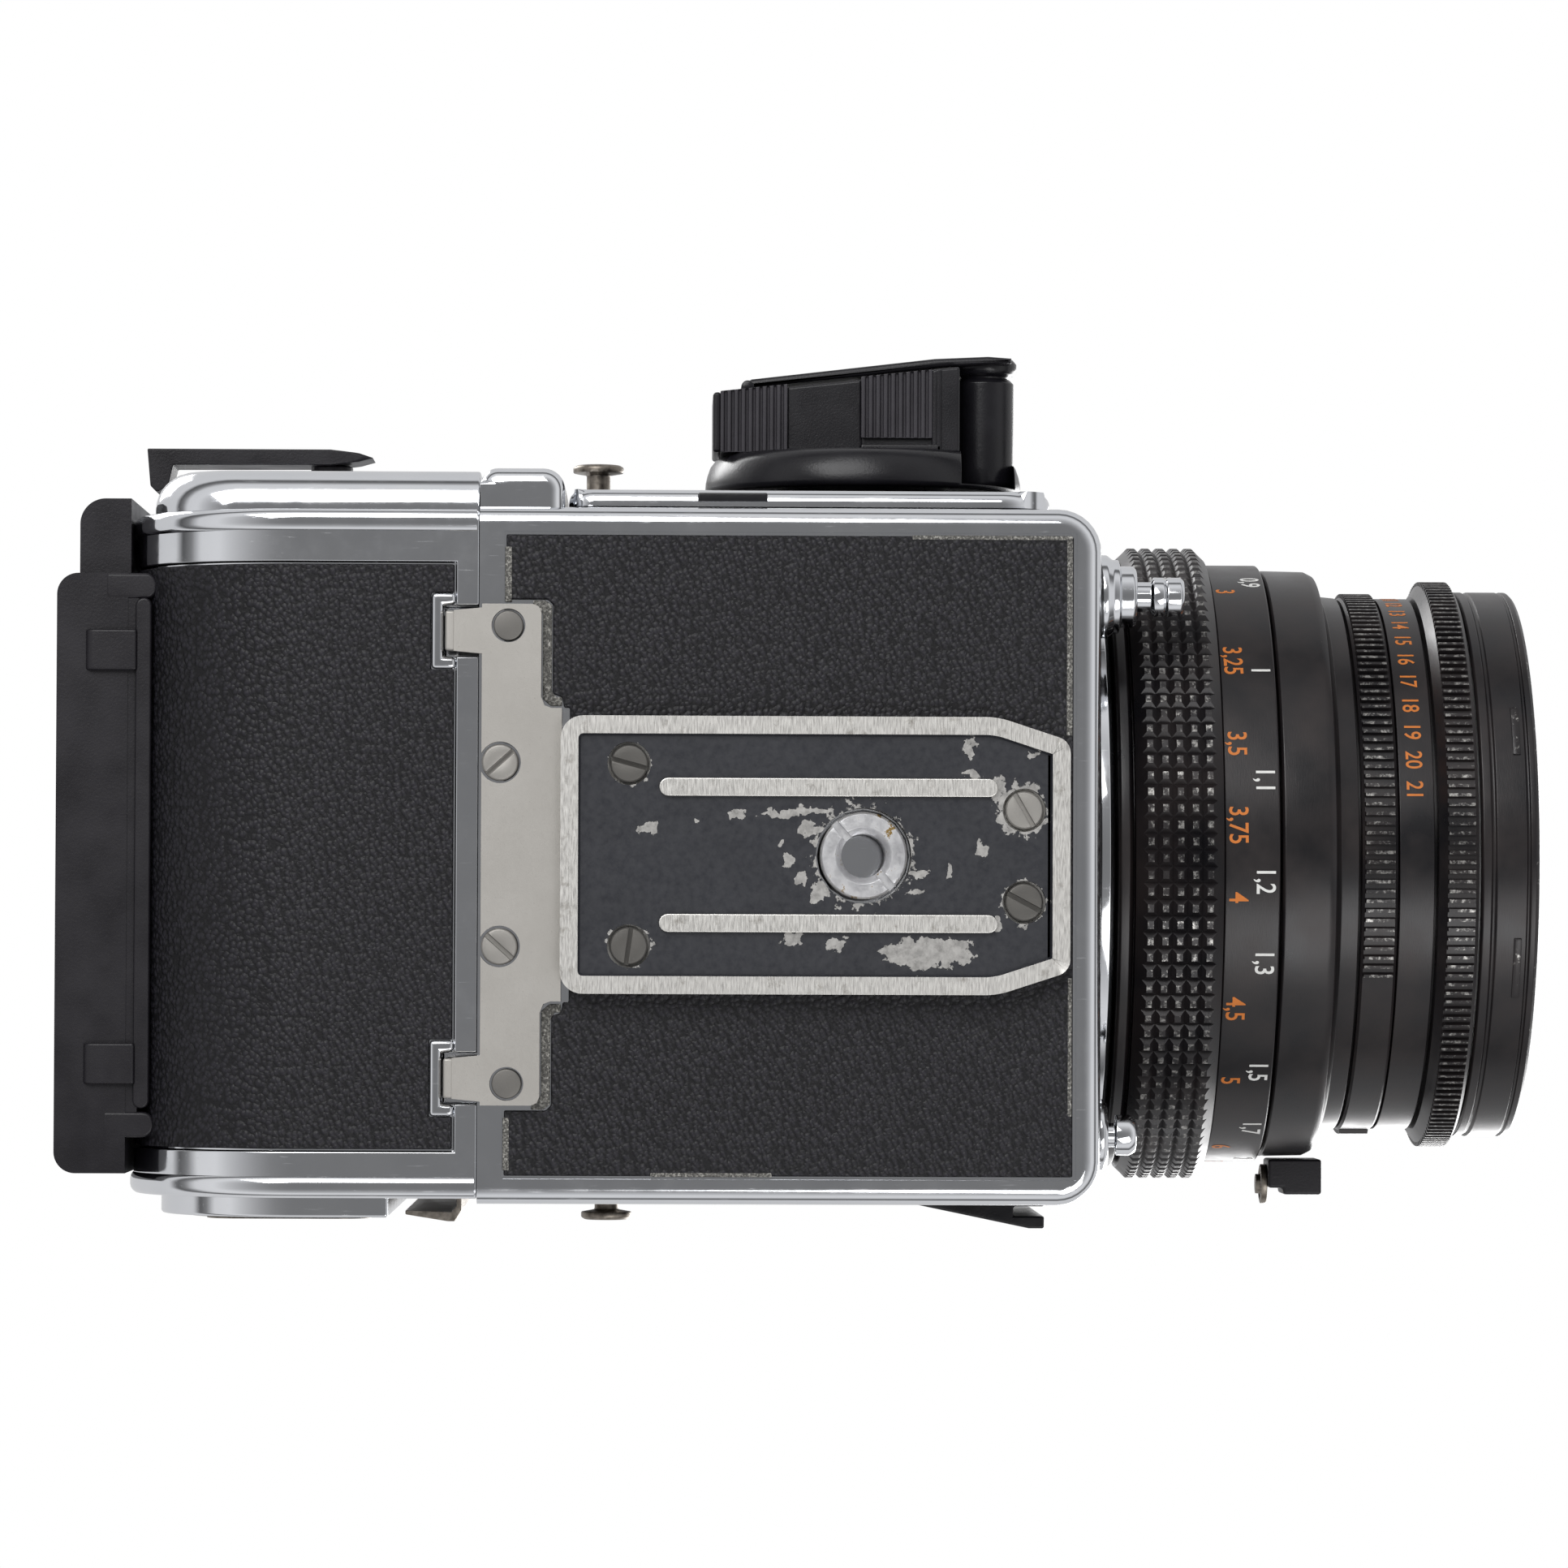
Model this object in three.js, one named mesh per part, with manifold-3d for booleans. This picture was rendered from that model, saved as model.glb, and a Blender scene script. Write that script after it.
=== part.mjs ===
// A modular 6 x 6 cm single lens reflex camera: box body, leaf-shutter lens, film magazine,
// folding hood and winding crank. Millimetres, +Z up, the lens looks along -Y.
//
// Lengths are laid out from three datums: the lens axis plane (x = 0), the plane where the
// magazine meets the body (front = 0) and the face of the tripod plate (z = 0). "front" is a
// distance ahead of the magazine joint, so y = -front, and it is negative on the magazine.
// The last lines move the whole assembly so that the origin is the bottom centre of its box.
import * as THREE from "three";
import { mergeVertices } from "three/addons/utils/BufferGeometryUtils.js";
import Module from "manifold-3d";

const wasm = await Module();
wasm.setup();

// ---------- driving dimensions ----------
const GAP = 0.3; // clearance between touching pieces
const ROUND = 40; // facets of a large turned ring
const SMALL_ROUND = 16; // facets of a screw, pin or button
const ARC = 10; // facets of a rounded corner

const AXIS_Z = 48.5; // height of the lens axis
const BODY = { halfWidth: 40.3, depth: 72, bottom: 3, top: 91 };
const LEATHER = { recess: 0.9, thickness: 0.45, border: 2.9 };
const CHAMBER = { halfWidth: 31, back: 2.2, front: 69, bottom: 18.5, top: 82.5 };
const FILM_GATE = 27; // half side of the square film gate
const THROAT = 30; // radius of the hole behind the lens

const PLATE = { back: 9.5, front: 68.2, halfWidth: 16, thickness: 2.9, rim: 2, recess: 0.6 };
const BUSH = { front: 44.4, outer: 5.05, inner: 2.6 };
const SUPPORT = { halfWidth: 29, depth: 9.2, bottom: 1.9, top: 2.7, hook: 25.8, hookHalfWidth: 2.65 };

const COVER = { back: 10.2, front: 66.4, outside: -42.6, bottom: 7, top: 87 };
const PILLAR = { outside: -44.9, front: 9.8 };
const KNOB = { front: 45, z: 44, radius: 19.4, inside: -44.8, rim: -48.4 };
const KNOB_SHAFT = 3.5; // radius
const CRANK = { hingeFront: 29.5, hingeX: -58.3, handleFront: 60, handleRadius: 3.7, outside: -61.3 };
const RELEASE = { x: -30.7, z: 14.5, radius: 2.35, tip: 82.4 };
const LENS_RELEASE = { x: 32.4, z: 14.5, radius: 2.4, tip: 76 };

const MIRROR = { hingeFront: 6, hingeZ: 79, length: 60, halfWidth: 28 };
const FLAP = { hingeFront: 4, top: 76, bottom: 21, length: 27, halfWidth: 28.7, thickness: 1.2 };

const MAGAZINE = { halfWidth: 39.7, back: -41, bottom: 3, top: 88, corner: 20, wall: 3, gateWall: 10 };
const HOUSING = { outside: -44.9, bottom: 8, top: 84, back: -38.5 };
const SPOOL = { front: -23.9, bottomZ: 20.4, topZ: 70.8, flange: 12.3, halfLength: 31.2 };
const HOLDER = { left: 37.2, right: -32.9, back: -49.6, sideRight: -41.9, sideBack: -47.3 };
const FRONT = 124.5; // the front rim

const HOOD = { halfWidth: 37, back: 3, front: 69, bottom: 91.3, rim: 102.2 };
const LID = { hingeFront: 70, hingeZ: 102, top: 109, skirtBottom: 102.6, plate: 1.6, skirt: 1.5 };
const SIDE_PANEL = { hingeX: 33.5, z: 104, width: 32.5, thickness: 1.0 };
const REAR_PANEL = { hingeFront: 6, z: 102.1, height: 20, thickness: 0.8 };

// ---------- finishes ----------
const finish = (color, roughness, metalness) =>
  new THREE.MeshStandardMaterial({ color, roughness, metalness });
const CHROME = finish(0xc9c9cc, 0.18, 1);
const BARE_METAL = finish(0x9a9893, 0.45, 1);
const LEATHERETTE = finish(0x1b1a20, 0.62, 0);
const PAINTED_BLACK = finish(0x17171c, 0.4, 0.2);
const ANODISED_BLACK = finish(0x1a191c, 0.36, 0.6);
const BLACK_PLASTIC = finish(0x141418, 0.42, 0);
const STEEL = finish(0x85837f, 0.35, 1);
const COATED_GLASS = finish(0x33304a, 0.05, 0);
const MIRROR_SILVER = finish(0xdadade, 0.03, 1);
const SCREEN_GLASS = finish(0xb9bdb8, 0.4, 0);
const SPOOL_PLASTIC = finish(0x202022, 0.5, 0);

// ---------- solids ----------
// A three.js geometry as a manifold-3d solid with its faces pointing out.
function solid(geometry) {
  const shape = geometry.clone();
  for (const name of ["normal", "uv"]) shape.deleteAttribute(name);
  const merged = mergeVertices(shape, 1e-4);
  const corners = new Uint32Array(merged.index.array);
  const build = () =>
    new wasm.Manifold(
      new wasm.Mesh({ numProp: 3, vertProperties: merged.attributes.position.array, triVerts: corners }),
    );
  const made = build();
  if (made.volume() > 0) return made;
  for (let i = 0; i < corners.length; i += 3) {
    [corners[i + 1], corners[i + 2]] = [corners[i + 2], corners[i + 1]];
  }
  return build();
}

const middle = ([low, high]) => (low + high) / 2;
const span = ([low, high]) => high - low;

// A block from its ranges: across (x), forward (front) and up (z).
function block(x, front, z) {
  const geometry = new THREE.BoxGeometry(span(x), span(front), span(z));
  return solid(geometry.translate(middle(x), -middle(front), middle(z)));
}

// Round rods along the three axes.
function rodX(radius, x, front, z, sides = SMALL_ROUND) {
  const geometry = new THREE.CylinderGeometry(radius, radius, span(x), sides);
  return solid(geometry.rotateZ(Math.PI / 2).translate(middle(x), -front, z));
}

function rodForward(radius, front, x, z, sides = SMALL_ROUND) {
  const geometry = new THREE.CylinderGeometry(radius, radius, span(front), sides);
  return solid(geometry.translate(x, -middle(front), z));
}

function rodUp(radius, z, x, front, sides = SMALL_ROUND) {
  const geometry = new THREE.CylinderGeometry(radius, radius, span(z), sides);
  return solid(geometry.rotateX(Math.PI / 2).translate(x, -front, middle(z)));
}

// A closed profile of [radius, front] points turned about the lens axis.
function turned(profile, sides = ROUND) {
  const points = [...profile, profile[0]].map(([radius, front]) => new THREE.Vector2(radius, -front));
  return solid(new THREE.LatheGeometry(points, sides).translate(0, 0, AXIS_Z));
}

function extruded(outline, depth) {
  return new THREE.ExtrudeGeometry(outline, { depth, bevelEnabled: false, curveSegments: ARC });
}

// An outline drawn in (x, y), extruded up between two heights.
function extrudedUp(outline, z) {
  return solid(extruded(outline, span(z)).translate(0, 0, z[0]));
}

// An outline drawn in (y, z), extruded across.
function extrudedAcross(outline, x) {
  const turn = new THREE.Matrix4().makeBasis(
    new THREE.Vector3(0, 1, 0),
    new THREE.Vector3(0, 0, 1),
    new THREE.Vector3(1, 0, 0),
  );
  return solid(extruded(outline, span(x)).applyMatrix4(turn).translate(x[0], 0, 0));
}

// A rectangle with its own radius at each corner, from the low corner anticlockwise.
function roundedRectangle([x0, x1], [y0, y1], [a, b, c, d]) {
  const shape = new THREE.Shape();
  shape.moveTo(x0 + a, y0);
  shape.lineTo(x1 - b, y0);
  if (b) shape.absarc(x1 - b, y0 + b, b, -Math.PI / 2, 0);
  shape.lineTo(x1, y1 - c);
  if (c) shape.absarc(x1 - c, y1 - c, c, 0, Math.PI / 2);
  shape.lineTo(x0 + d, y1);
  if (d) shape.absarc(x0 + d, y1 - d, d, Math.PI / 2, Math.PI);
  shape.lineTo(x0, y0 + a);
  if (a) shape.absarc(x0 + a, y0 + a, a, Math.PI, 1.5 * Math.PI);
  return shape;
}

function polygon(points) {
  return new THREE.Shape(points.map(([x, y]) => new THREE.Vector2(x, y)));
}

const joined = (...solids) => wasm.Manifold.union(solids);
const cut = (base, ...tools) => base.subtract(wasm.Manifold.union(tools));

const camera = new THREE.Group();

// Puts a solid into the scene graph as one named mesh.
function part(name, shape, material, parent = camera) {
  const { vertProperties, triVerts } = shape.getMesh();
  const geometry = new THREE.BufferGeometry();
  geometry.setAttribute("position", new THREE.BufferAttribute(vertProperties, 3));
  geometry.setIndex(new THREE.BufferAttribute(triVerts, 1));
  geometry.computeVertexNormals();
  const mesh = new THREE.Mesh(geometry, material);
  mesh.name = name;
  parent.add(mesh);
  return mesh;
}

// ---------- body: one cast shell, open to the lens, the magazine and the hood ----------
const bodyX = [-BODY.halfWidth, BODY.halfWidth];
const leatherX = [-BODY.halfWidth + LEATHER.border, BODY.halfWidth - LEATHER.border];
const leatherFront = [LEATHER.border, BODY.depth - LEATHER.border];
const leatherZ = [BODY.bottom + 3.5, BODY.top - 3.5];
const screenSeat = { halfWidth: 31, front: [5, 68], z: [83.6, 92] };

function bodyShell() {
  const outline = roundedRectangle(bodyX, [-BODY.depth, 0], [5, 5, 0, 0]);
  const pillar = roundedRectangle([PILLAR.outside, -39], [-PILLAR.front, 0], [2.5, 0, 0, 2]);
  const casting = joined(
    extrudedUp(outline, [BODY.bottom, BODY.top]),
    extrudedUp(pillar, [BODY.bottom + 2, BODY.top - 2]),
  );
  const chamberX = [-CHAMBER.halfWidth, CHAMBER.halfWidth];
  const gateZ = [AXIS_Z - FILM_GATE, AXIS_Z + FILM_GATE];
  const skinFloor = BODY.halfWidth - LEATHER.recess;
  return cut(
    casting,
    block(chamberX, [CHAMBER.back, CHAMBER.front], [CHAMBER.bottom, CHAMBER.top]),
    block([-FILM_GATE, FILM_GATE], [-1, CHAMBER.back + 1], gateZ),
    rodForward(THROAT, [CHAMBER.front - 1, BODY.depth + 1], 0, AXIS_Z, ROUND),
    block([-29, 29], [8, 66], [CHAMBER.top - 1, BODY.top + 1]),
    block([-screenSeat.halfWidth, screenSeat.halfWidth], screenSeat.front, screenSeat.z),
    block(leatherX, leatherFront, [BODY.bottom - 1, BODY.bottom + LEATHER.recess]),
    block([skinFloor, BODY.halfWidth + 1], leatherFront, leatherZ),
    block(leatherX, [BODY.depth - LEATHER.recess, BODY.depth + 1], leatherZ),
    rodUp(BUSH.outer + GAP, [0, 12], 0, BUSH.front),
    rodX(KNOB_SHAFT + GAP, [-BODY.halfWidth - 1, -33], KNOB.front, KNOB.z),
    rodForward(RELEASE.radius + GAP, [60, BODY.depth + 1], RELEASE.x, RELEASE.z),
    rodForward(1.8, [60, BODY.depth + 1], LENS_RELEASE.x, LENS_RELEASE.z),
  );
}
part("body_shell", bodyShell(), CHROME);

const skinX = [leatherX[0] + GAP, leatherX[1] - GAP];
const skinFront = [leatherFront[0] + GAP, leatherFront[1] - GAP];
const skinZ = [leatherZ[0] + GAP, leatherZ[1] - GAP];
const skinTop = BODY.bottom + LEATHER.recess - GAP;
part(
  "bottom_leather",
  cut(
    block(skinX, skinFront, [skinTop - LEATHER.thickness, skinTop]),
    rodUp(BUSH.outer + GAP, [0, 12], 0, BUSH.front),
  ),
  LEATHERETTE,
);
const skinSide = BODY.halfWidth - LEATHER.recess + GAP;
part("left_leather", block([skinSide, skinSide + LEATHER.thickness], skinFront, skinZ), LEATHERETTE);

const skinFace = BODY.depth - LEATHER.recess + GAP;
part(
  "front_leather",
  cut(
    block(skinX, [skinFace, skinFace + LEATHER.thickness], skinZ),
    rodForward(36.3, [70, 73], 0, AXIS_Z, ROUND),
    rodForward(4.9, [70, 73], RELEASE.x, RELEASE.z),
    rodForward(4.6, [70, 73], LENS_RELEASE.x, LENS_RELEASE.z),
  ),
  LEATHERETTE,
);

// ---------- right side: raised gear cover with its own leather ----------
const coverOutline = roundedRectangle([-COVER.front, -COVER.back], [COVER.bottom, COVER.top], [6, 3, 3, 6]);
const coverSkin = roundedRectangle(
  [-COVER.front + LEATHER.border, -COVER.back - LEATHER.border],
  [COVER.bottom + LEATHER.border, COVER.top - LEATHER.border],
  [3.5, 1, 1, 3.5],
);
const knobHole = (x) => rodX(KNOB_SHAFT + GAP, x, KNOB.front, KNOB.z);
part(
  "right_cover",
  cut(
    extrudedAcross(coverOutline, [COVER.outside, -BODY.halfWidth - GAP]),
    extrudedAcross(coverSkin, [COVER.outside - 1, COVER.outside + LEATHER.recess]),
    knobHole([-46, -40]),
  ),
  CHROME,
);
const coverSkinInner = roundedRectangle(
  [-COVER.front + LEATHER.border + GAP, -COVER.back - LEATHER.border - GAP],
  [COVER.bottom + LEATHER.border + GAP, COVER.top - LEATHER.border - GAP],
  [3.2, 0.8, 0.8, 3.2],
);
const coverSkinX = COVER.outside + LEATHER.recess - GAP;
part(
  "right_leather",
  cut(
    extrudedAcross(coverSkinInner, [coverSkinX - LEATHER.thickness, coverSkinX]),
    rodX(KNOB_SHAFT + 1.5, [-46, -40], KNOB.front, KNOB.z),
  ),
  LEATHERETTE,
);

// ---------- underside: tripod coupling plate, bush, support plate with two hooks ----------
function plateOutline(inset) {
  const side = PLATE.halfWidth - inset;
  const front = PLATE.front - inset;
  const chamferStart = 60 - inset * 0.4;
  const chamferSide = 13.1 - inset * 0.8;
  const shape = new THREE.Shape();
  const back = PLATE.back + inset;
  const corner = Math.max(2.3 - inset / 2, 0.5);
  shape.moveTo(-chamferSide, -front);
  shape.lineTo(chamferSide, -front);
  shape.lineTo(side, -chamferStart);
  shape.absarc(side - corner, -back - corner, corner, 0, Math.PI / 2);
  shape.absarc(-side + corner, -back - corner, corner, Math.PI / 2, Math.PI);
  shape.lineTo(-side, -chamferStart);
  return shape;
}

const screwPlaces = [
  [-10.5, 17.4],
  [10.5, 17.4],
  [-5.3, 62.9],
  [5.3, 62.9],
];
const RAIL = { x: 7.83, halfWidth: 1.05, front: [20.9, 59.8] };
const rails = [-RAIL.x, RAIL.x].map((x) =>
  block([x - RAIL.halfWidth, x + RAIL.halfWidth], RAIL.front, [0, PLATE.recess + 0.2]),
);
part(
  "tripod_plate",
  cut(
    joined(
      cut(
        extrudedUp(plateOutline(0), [0, PLATE.thickness]),
        extrudedUp(plateOutline(PLATE.rim), [-1, PLATE.recess]),
      ),
      ...rails,
    ),
    rodUp(BUSH.outer + GAP, [-1, 4], 0, BUSH.front),
    ...screwPlaces.map(([x, front]) => rodUp(2.45, [0, 2.1], x, front)),
  ),
  BARE_METAL,
);

const bushProfile = [
  [BUSH.inner, 0.4],
  [BUSH.outer - 0.4, 0.4],
  [BUSH.outer, 0.8],
  [BUSH.outer, 11.5],
  [BUSH.inner, 11.5],
].map(([radius, z]) => new THREE.Vector2(radius, z));
const bushGeometry = new THREE.LatheGeometry([...bushProfile, bushProfile[0]], SMALL_ROUND);
part("tripod_bush", solid(bushGeometry.rotateX(Math.PI / 2).translate(0, -BUSH.front, 0)), STEEL);

// A slotted screw head that faces down, with its slot turned by an angle.
function slottedScrew(x, front, radius, z, angle) {
  const slot = new THREE.BoxGeometry(2 * radius + 1, 0.6, 0.8).rotateZ(angle).translate(x, -front, z[0]);
  return cut(rodUp(radius, z, x, front), solid(slot));
}
screwPlaces.forEach(([x, front], i) => {
  part(`plate_screw_${i + 1}`, slottedScrew(x, front, 2.1, [0.5, 1.8], 0.5 + 0.7 * i), STEEL);
});

const hookSides = [-SUPPORT.hook, SUPPORT.hook];
const supportPinX = 26.4;
const supportScrewX = 10.6;
const supportHoles = [
  ...[-supportPinX, supportPinX].map((x) => rodUp(2.05, [0, 4], x, 3.4)),
  ...[-supportScrewX, supportScrewX].map((x) => rodUp(2.4, [0, 4], x, 2.5)),
];
const hookTabs = hookSides.flatMap((x) => {
  const width = [x - SUPPORT.hookHalfWidth, x + SUPPORT.hookHalfWidth];
  return [
    block(width, [-3.7, 1], [SUPPORT.bottom, SUPPORT.top]),
    block(width, [-3.7, -2.8], [SUPPORT.bottom, 5.4]),
  ];
});
part(
  "support_plate",
  cut(
    joined(
      block([-SUPPORT.halfWidth, SUPPORT.halfWidth], [0.2, 8.4], [SUPPORT.bottom, SUPPORT.top]),
      block([-14.9, 14.9], [0.2, SUPPORT.depth], [SUPPORT.bottom, SUPPORT.top]),
      ...hookTabs,
    ),
    ...supportHoles,
  ),
  BARE_METAL,
);
for (const [side, sign] of [["right", -1], ["left", 1]]) {
  part(`support_pin_${side}`, rodUp(1.72, [1.7, SUPPORT.top], sign * supportPinX, 3.4), STEEL);
  part(
    `support_screw_${side}`,
    slottedScrew(sign * supportScrewX, 2.5, 2.05, [1.6, SUPPORT.top], sign * 0.78),
    STEEL,
  );
}

// ---------- left side rail and the two strap lugs ----------
const railOutline = polygon([
  [BODY.halfWidth + GAP, -49],
  [BODY.halfWidth + GAP, -68.3],
  [44.9, -68.3],
  [44.9, -66.4],
  [41.3, -49],
]);
part(
  "accessory_rail",
  cut(extrudedUp(railOutline, [52, 84]), block([42.2, 43.4], [64.5, 70], [50, 86])),
  PAINTED_BLACK,
);

const LUG_Z = 76;
function strapLug(sign, start, end, front) {
  const range = (a, b) => [Math.min(a, b), Math.max(a, b)];
  return joined(
    rodX(2.3, range(start, start + sign * 2.6), front, LUG_Z),
    rodX(1.6, range(start, end), front, LUG_Z),
    rodX(3.2, range(end - sign * 1.6, end), front, LUG_Z),
  );
}
part("strap_lug_right", strapLug(-1, COVER.outside - GAP, -50.5, 13.4), CHROME);
part("strap_lug_left", strapLug(1, BODY.halfWidth + GAP, 44.9, 14.3), CHROME);

// ---------- front buttons ----------
part(
  "release_collar",
  cut(
    joined(
      rodForward(4.4, [BODY.depth + GAP, 74.4], RELEASE.x, RELEASE.z),
      rodForward(3.5, [74, 76.6], RELEASE.x, RELEASE.z),
    ),
    rodForward(RELEASE.radius + GAP, [70, 80], RELEASE.x, RELEASE.z),
  ),
  CHROME,
);
part("shutter_release", rodForward(RELEASE.radius, [64.5, RELEASE.tip], RELEASE.x, RELEASE.z), CHROME);
part(
  "lens_release",
  joined(
    rodForward(LENS_RELEASE.radius, [74.3, LENS_RELEASE.tip + 1], LENS_RELEASE.x, LENS_RELEASE.z),
    rodForward(1.4, [64, 75], LENS_RELEASE.x, LENS_RELEASE.z),
  ),
  CHROME,
);

// ---------- winding knob and the crank that folds over it ----------
const gripOutline = polygon([
  [-48.2, -26],
  [-56.8, -26],
  [-56.95, -CRANK.hingeFront + 2.2],
  [-56.3, -CRANK.hingeFront + 1.9],
  [-56.3, -CRANK.hingeFront - 1.9],
  [-57.2, -CRANK.hingeFront - 2.2],
  [-59.2, -55.4],
  [-48.2, -55.4],
]);
part(
  "wind_knob",
  joined(
    rodX(KNOB_SHAFT, [KNOB.inside - 1, -34], KNOB.front, KNOB.z),
    rodX(9, [KNOB.rim, COVER.outside - 0.6], KNOB.front, KNOB.z),
    rodX(KNOB.radius, [KNOB.rim, KNOB.inside], KNOB.front, KNOB.z, ROUND),
    extrudedUp(gripOutline, [KNOB.z - 8, KNOB.z + 8]),
  ),
  PAINTED_BLACK,
);

const armOutline = polygon([
  [-57.6, -CRANK.hingeFront + 1],
  [-59.1, -CRANK.hingeFront + 1],
  [CRANK.outside, -55],
  [CRANK.outside, -63.4],
  [-59.6, -63.4],
  [-59.6, -55.9],
  [-57.6, -CRANK.hingeFront - 1],
]);
part(
  "wind_crank",
  joined(
    extrudedUp(armOutline, [KNOB.z - 5, KNOB.z + 5]),
    rodUp(1.25, [KNOB.z - 7, KNOB.z + 7], CRANK.hingeX, CRANK.hingeFront),
    rodX(CRANK.handleRadius, [-60, -49], CRANK.handleFront, KNOB.z),
  ),
  PAINTED_BLACK,
);

// ---------- mirror box: mirror, focusing screen and the two rear flaps ----------
const mirrorGroup = new THREE.Group();
mirrorGroup.position.set(0, -MIRROR.hingeFront, MIRROR.hingeZ);
mirrorGroup.rotation.x = Math.PI / 4;
camera.add(mirrorGroup);
const mirrorX = [-MIRROR.halfWidth, MIRROR.halfWidth];
part("mirror_frame", block(mirrorX, [2, MIRROR.length], [-1.5, 0]), PAINTED_BLACK, mirrorGroup);
part(
  "mirror_glass",
  block([mirrorX[0] + 1, mirrorX[1] - 1], [3, MIRROR.length - 1], [GAP, 1.3]),
  MIRROR_SILVER,
  mirrorGroup,
);
part("focusing_screen", block([-30.5, 30.5], [5.5, 67.5], [84, 86]), SCREEN_GLASS);

const flapX = [-FLAP.halfWidth, FLAP.halfWidth];
const flapFront = [FLAP.hingeFront - FLAP.thickness / 2, FLAP.hingeFront + FLAP.thickness / 2];
part("flap_upper", block(flapX, flapFront, [FLAP.top - FLAP.length, FLAP.top - 0.4]), PAINTED_BLACK);
part("flap_lower", block(flapX, flapFront, [FLAP.bottom + 0.4, FLAP.bottom + FLAP.length]), PAINTED_BLACK);

// ---------- lens: everything turned about the lens axis ----------
part(
  "lens_mount_ring",
  turned([
    [30.4, BODY.depth + GAP],
    [36, BODY.depth + GAP],
    [36, 74.4],
    [30.4, 74.4],
  ]),
  CHROME,
);
part(
  "lens_base_barrel",
  turned([
    [26, 68.6],
    [29.6, 68.6],
    [29.6, 74.7],
    [37, 74.7],
    [37, 76.3],
    [34.6, 76.3],
    [34.6, 93.3],
    [33, 93.3],
    [33, 78.6],
    [26, 78.6],
  ]),
  ANODISED_BLACK,
);
part(
  "focus_ring",
  turned([
    [34.9, 76.6],
    [37.3, 76.6],
    [38.5, 77.6],
    [38.5, 85.9],
    [37.3, 86.8],
    [34.9, 86.8],
  ]),
  ANODISED_BLACK,
);
part(
  "distance_scale",
  turned([
    [34.9, 87.1],
    [36.5, 87.1],
    [36.5, 93.6],
    [34.9, 93.6],
  ]),
  ANODISED_BLACK,
);
part(
  "lens_head_barrel",
  turned([
    [20.5, 71],
    [25.4, 71],
    [25.4, 95],
    [31.2, 95],
    [31.2, 80],
    [32.7, 80],
    [32.7, 93.9],
    [35.7, 93.9],
    [35.7, 99.5],
    [32.6, 101],
    [32.6, 103],
    [30.5, 103],
    [30.5, 117],
    [27.5, 117],
    [21.5, 110.5],
    [20.5, 110.5],
  ]),
  ANODISED_BLACK,
);
part(
  "speed_ring",
  turned([
    [30.8, 103.5],
    [33, 103.5],
    [33, 107.8],
    [30.8, 107.8],
  ]),
  ANODISED_BLACK,
);
part(
  "exposure_scale",
  turned([
    [30.8, 108.1],
    [32.5, 108.1],
    [32.5, 112.2],
    [30.8, 112.2],
  ]),
  ANODISED_BLACK,
);
part(
  "aperture_ring",
  turned([
    [30.8, 112.5],
    [33, 112.5],
    [34.6, 113.5],
    [34.6, 116.6],
    [34.1, 117.2],
    [30.8, 117.2],
  ]),
  ANODISED_BLACK,
);
part(
  "front_ring",
  turned([
    [28, 117.5],
    [33.3, 117.5],
    [33.3, 124.1],
    [32.9, FRONT],
    [31.6, FRONT],
    [31.6, 119.3],
    [28, 119.3],
  ]),
  ANODISED_BLACK,
);

// A lens element: a flat rim with a domed face on each side, the domes sampled from a circle.
function element(radius, back, front, backDome, frontDome) {
  const steps = 4;
  const dome = (base, height) =>
    Array.from({ length: steps + 1 }, (_, i) => {
      const share = 1 - i / steps;
      return [radius * share, base + height * (1 - share * share)];
    });
  const face = dome(front, frontDome);
  const rear = dome(back, -backDome).reverse();
  const points = [...face, ...rear].map(([r, f]) => new THREE.Vector2(r, -f));
  const ring = new THREE.LatheGeometry([points.at(-1), ...points].reverse(), SMALL_ROUND);
  return solid(ring.translate(0, 0, AXIS_Z));
}
part("front_glass", element(20.1, 104, 107, 1, 3), COATED_GLASS);
part("rear_glass", element(20.1, 73, 75.5, 1.8, 0.6), COATED_GLASS);

const pentagon = new THREE.CylinderGeometry(9, 9, 4, 5).translate(0, -97, AXIS_Z);
part("iris_stop", cut(rodForward(20.1, [96.6, 97.3], 0, AXIS_Z), solid(pentagon)), PAINTED_BLACK);

part(
  "flash_terminal",
  joined(
    block([36.1, 39.6], [95.2, 101.7], [AXIS_Z - 3.5, AXIS_Z + 3.5]),
    block([36.1, 40.4], [97, 101.7], [AXIS_Z - 3.5, AXIS_Z + 3.5]),
  ),
  BLACK_PLASTIC,
);

// ---------- magazine: shell with a curved back, open to the left for its film insert ----------
// Its side view, drawn in (y, z), made smaller by an inset.
function magazineProfile(inset, frontFace) {
  const corner = MAGAZINE.corner - inset;
  return roundedRectangle(
    [-frontFace, -MAGAZINE.back - inset],
    [MAGAZINE.bottom + inset, MAGAZINE.top - inset],
    [0, corner, corner, 0],
  );
}
const magazineX = [-MAGAZINE.halfWidth, MAGAZINE.halfWidth];
const coatX = [-33.8, 34.3];
const NOTCH = { half: 3, depth: 4.1, rim: 1.45 };
const slideZ = [18.5, 78.5];
const notchOf = (x, margin) =>
  block([x - NOTCH.half - margin, x + NOTCH.half + margin], [-NOTCH.depth - margin, 1], [0, 9]);

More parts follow.
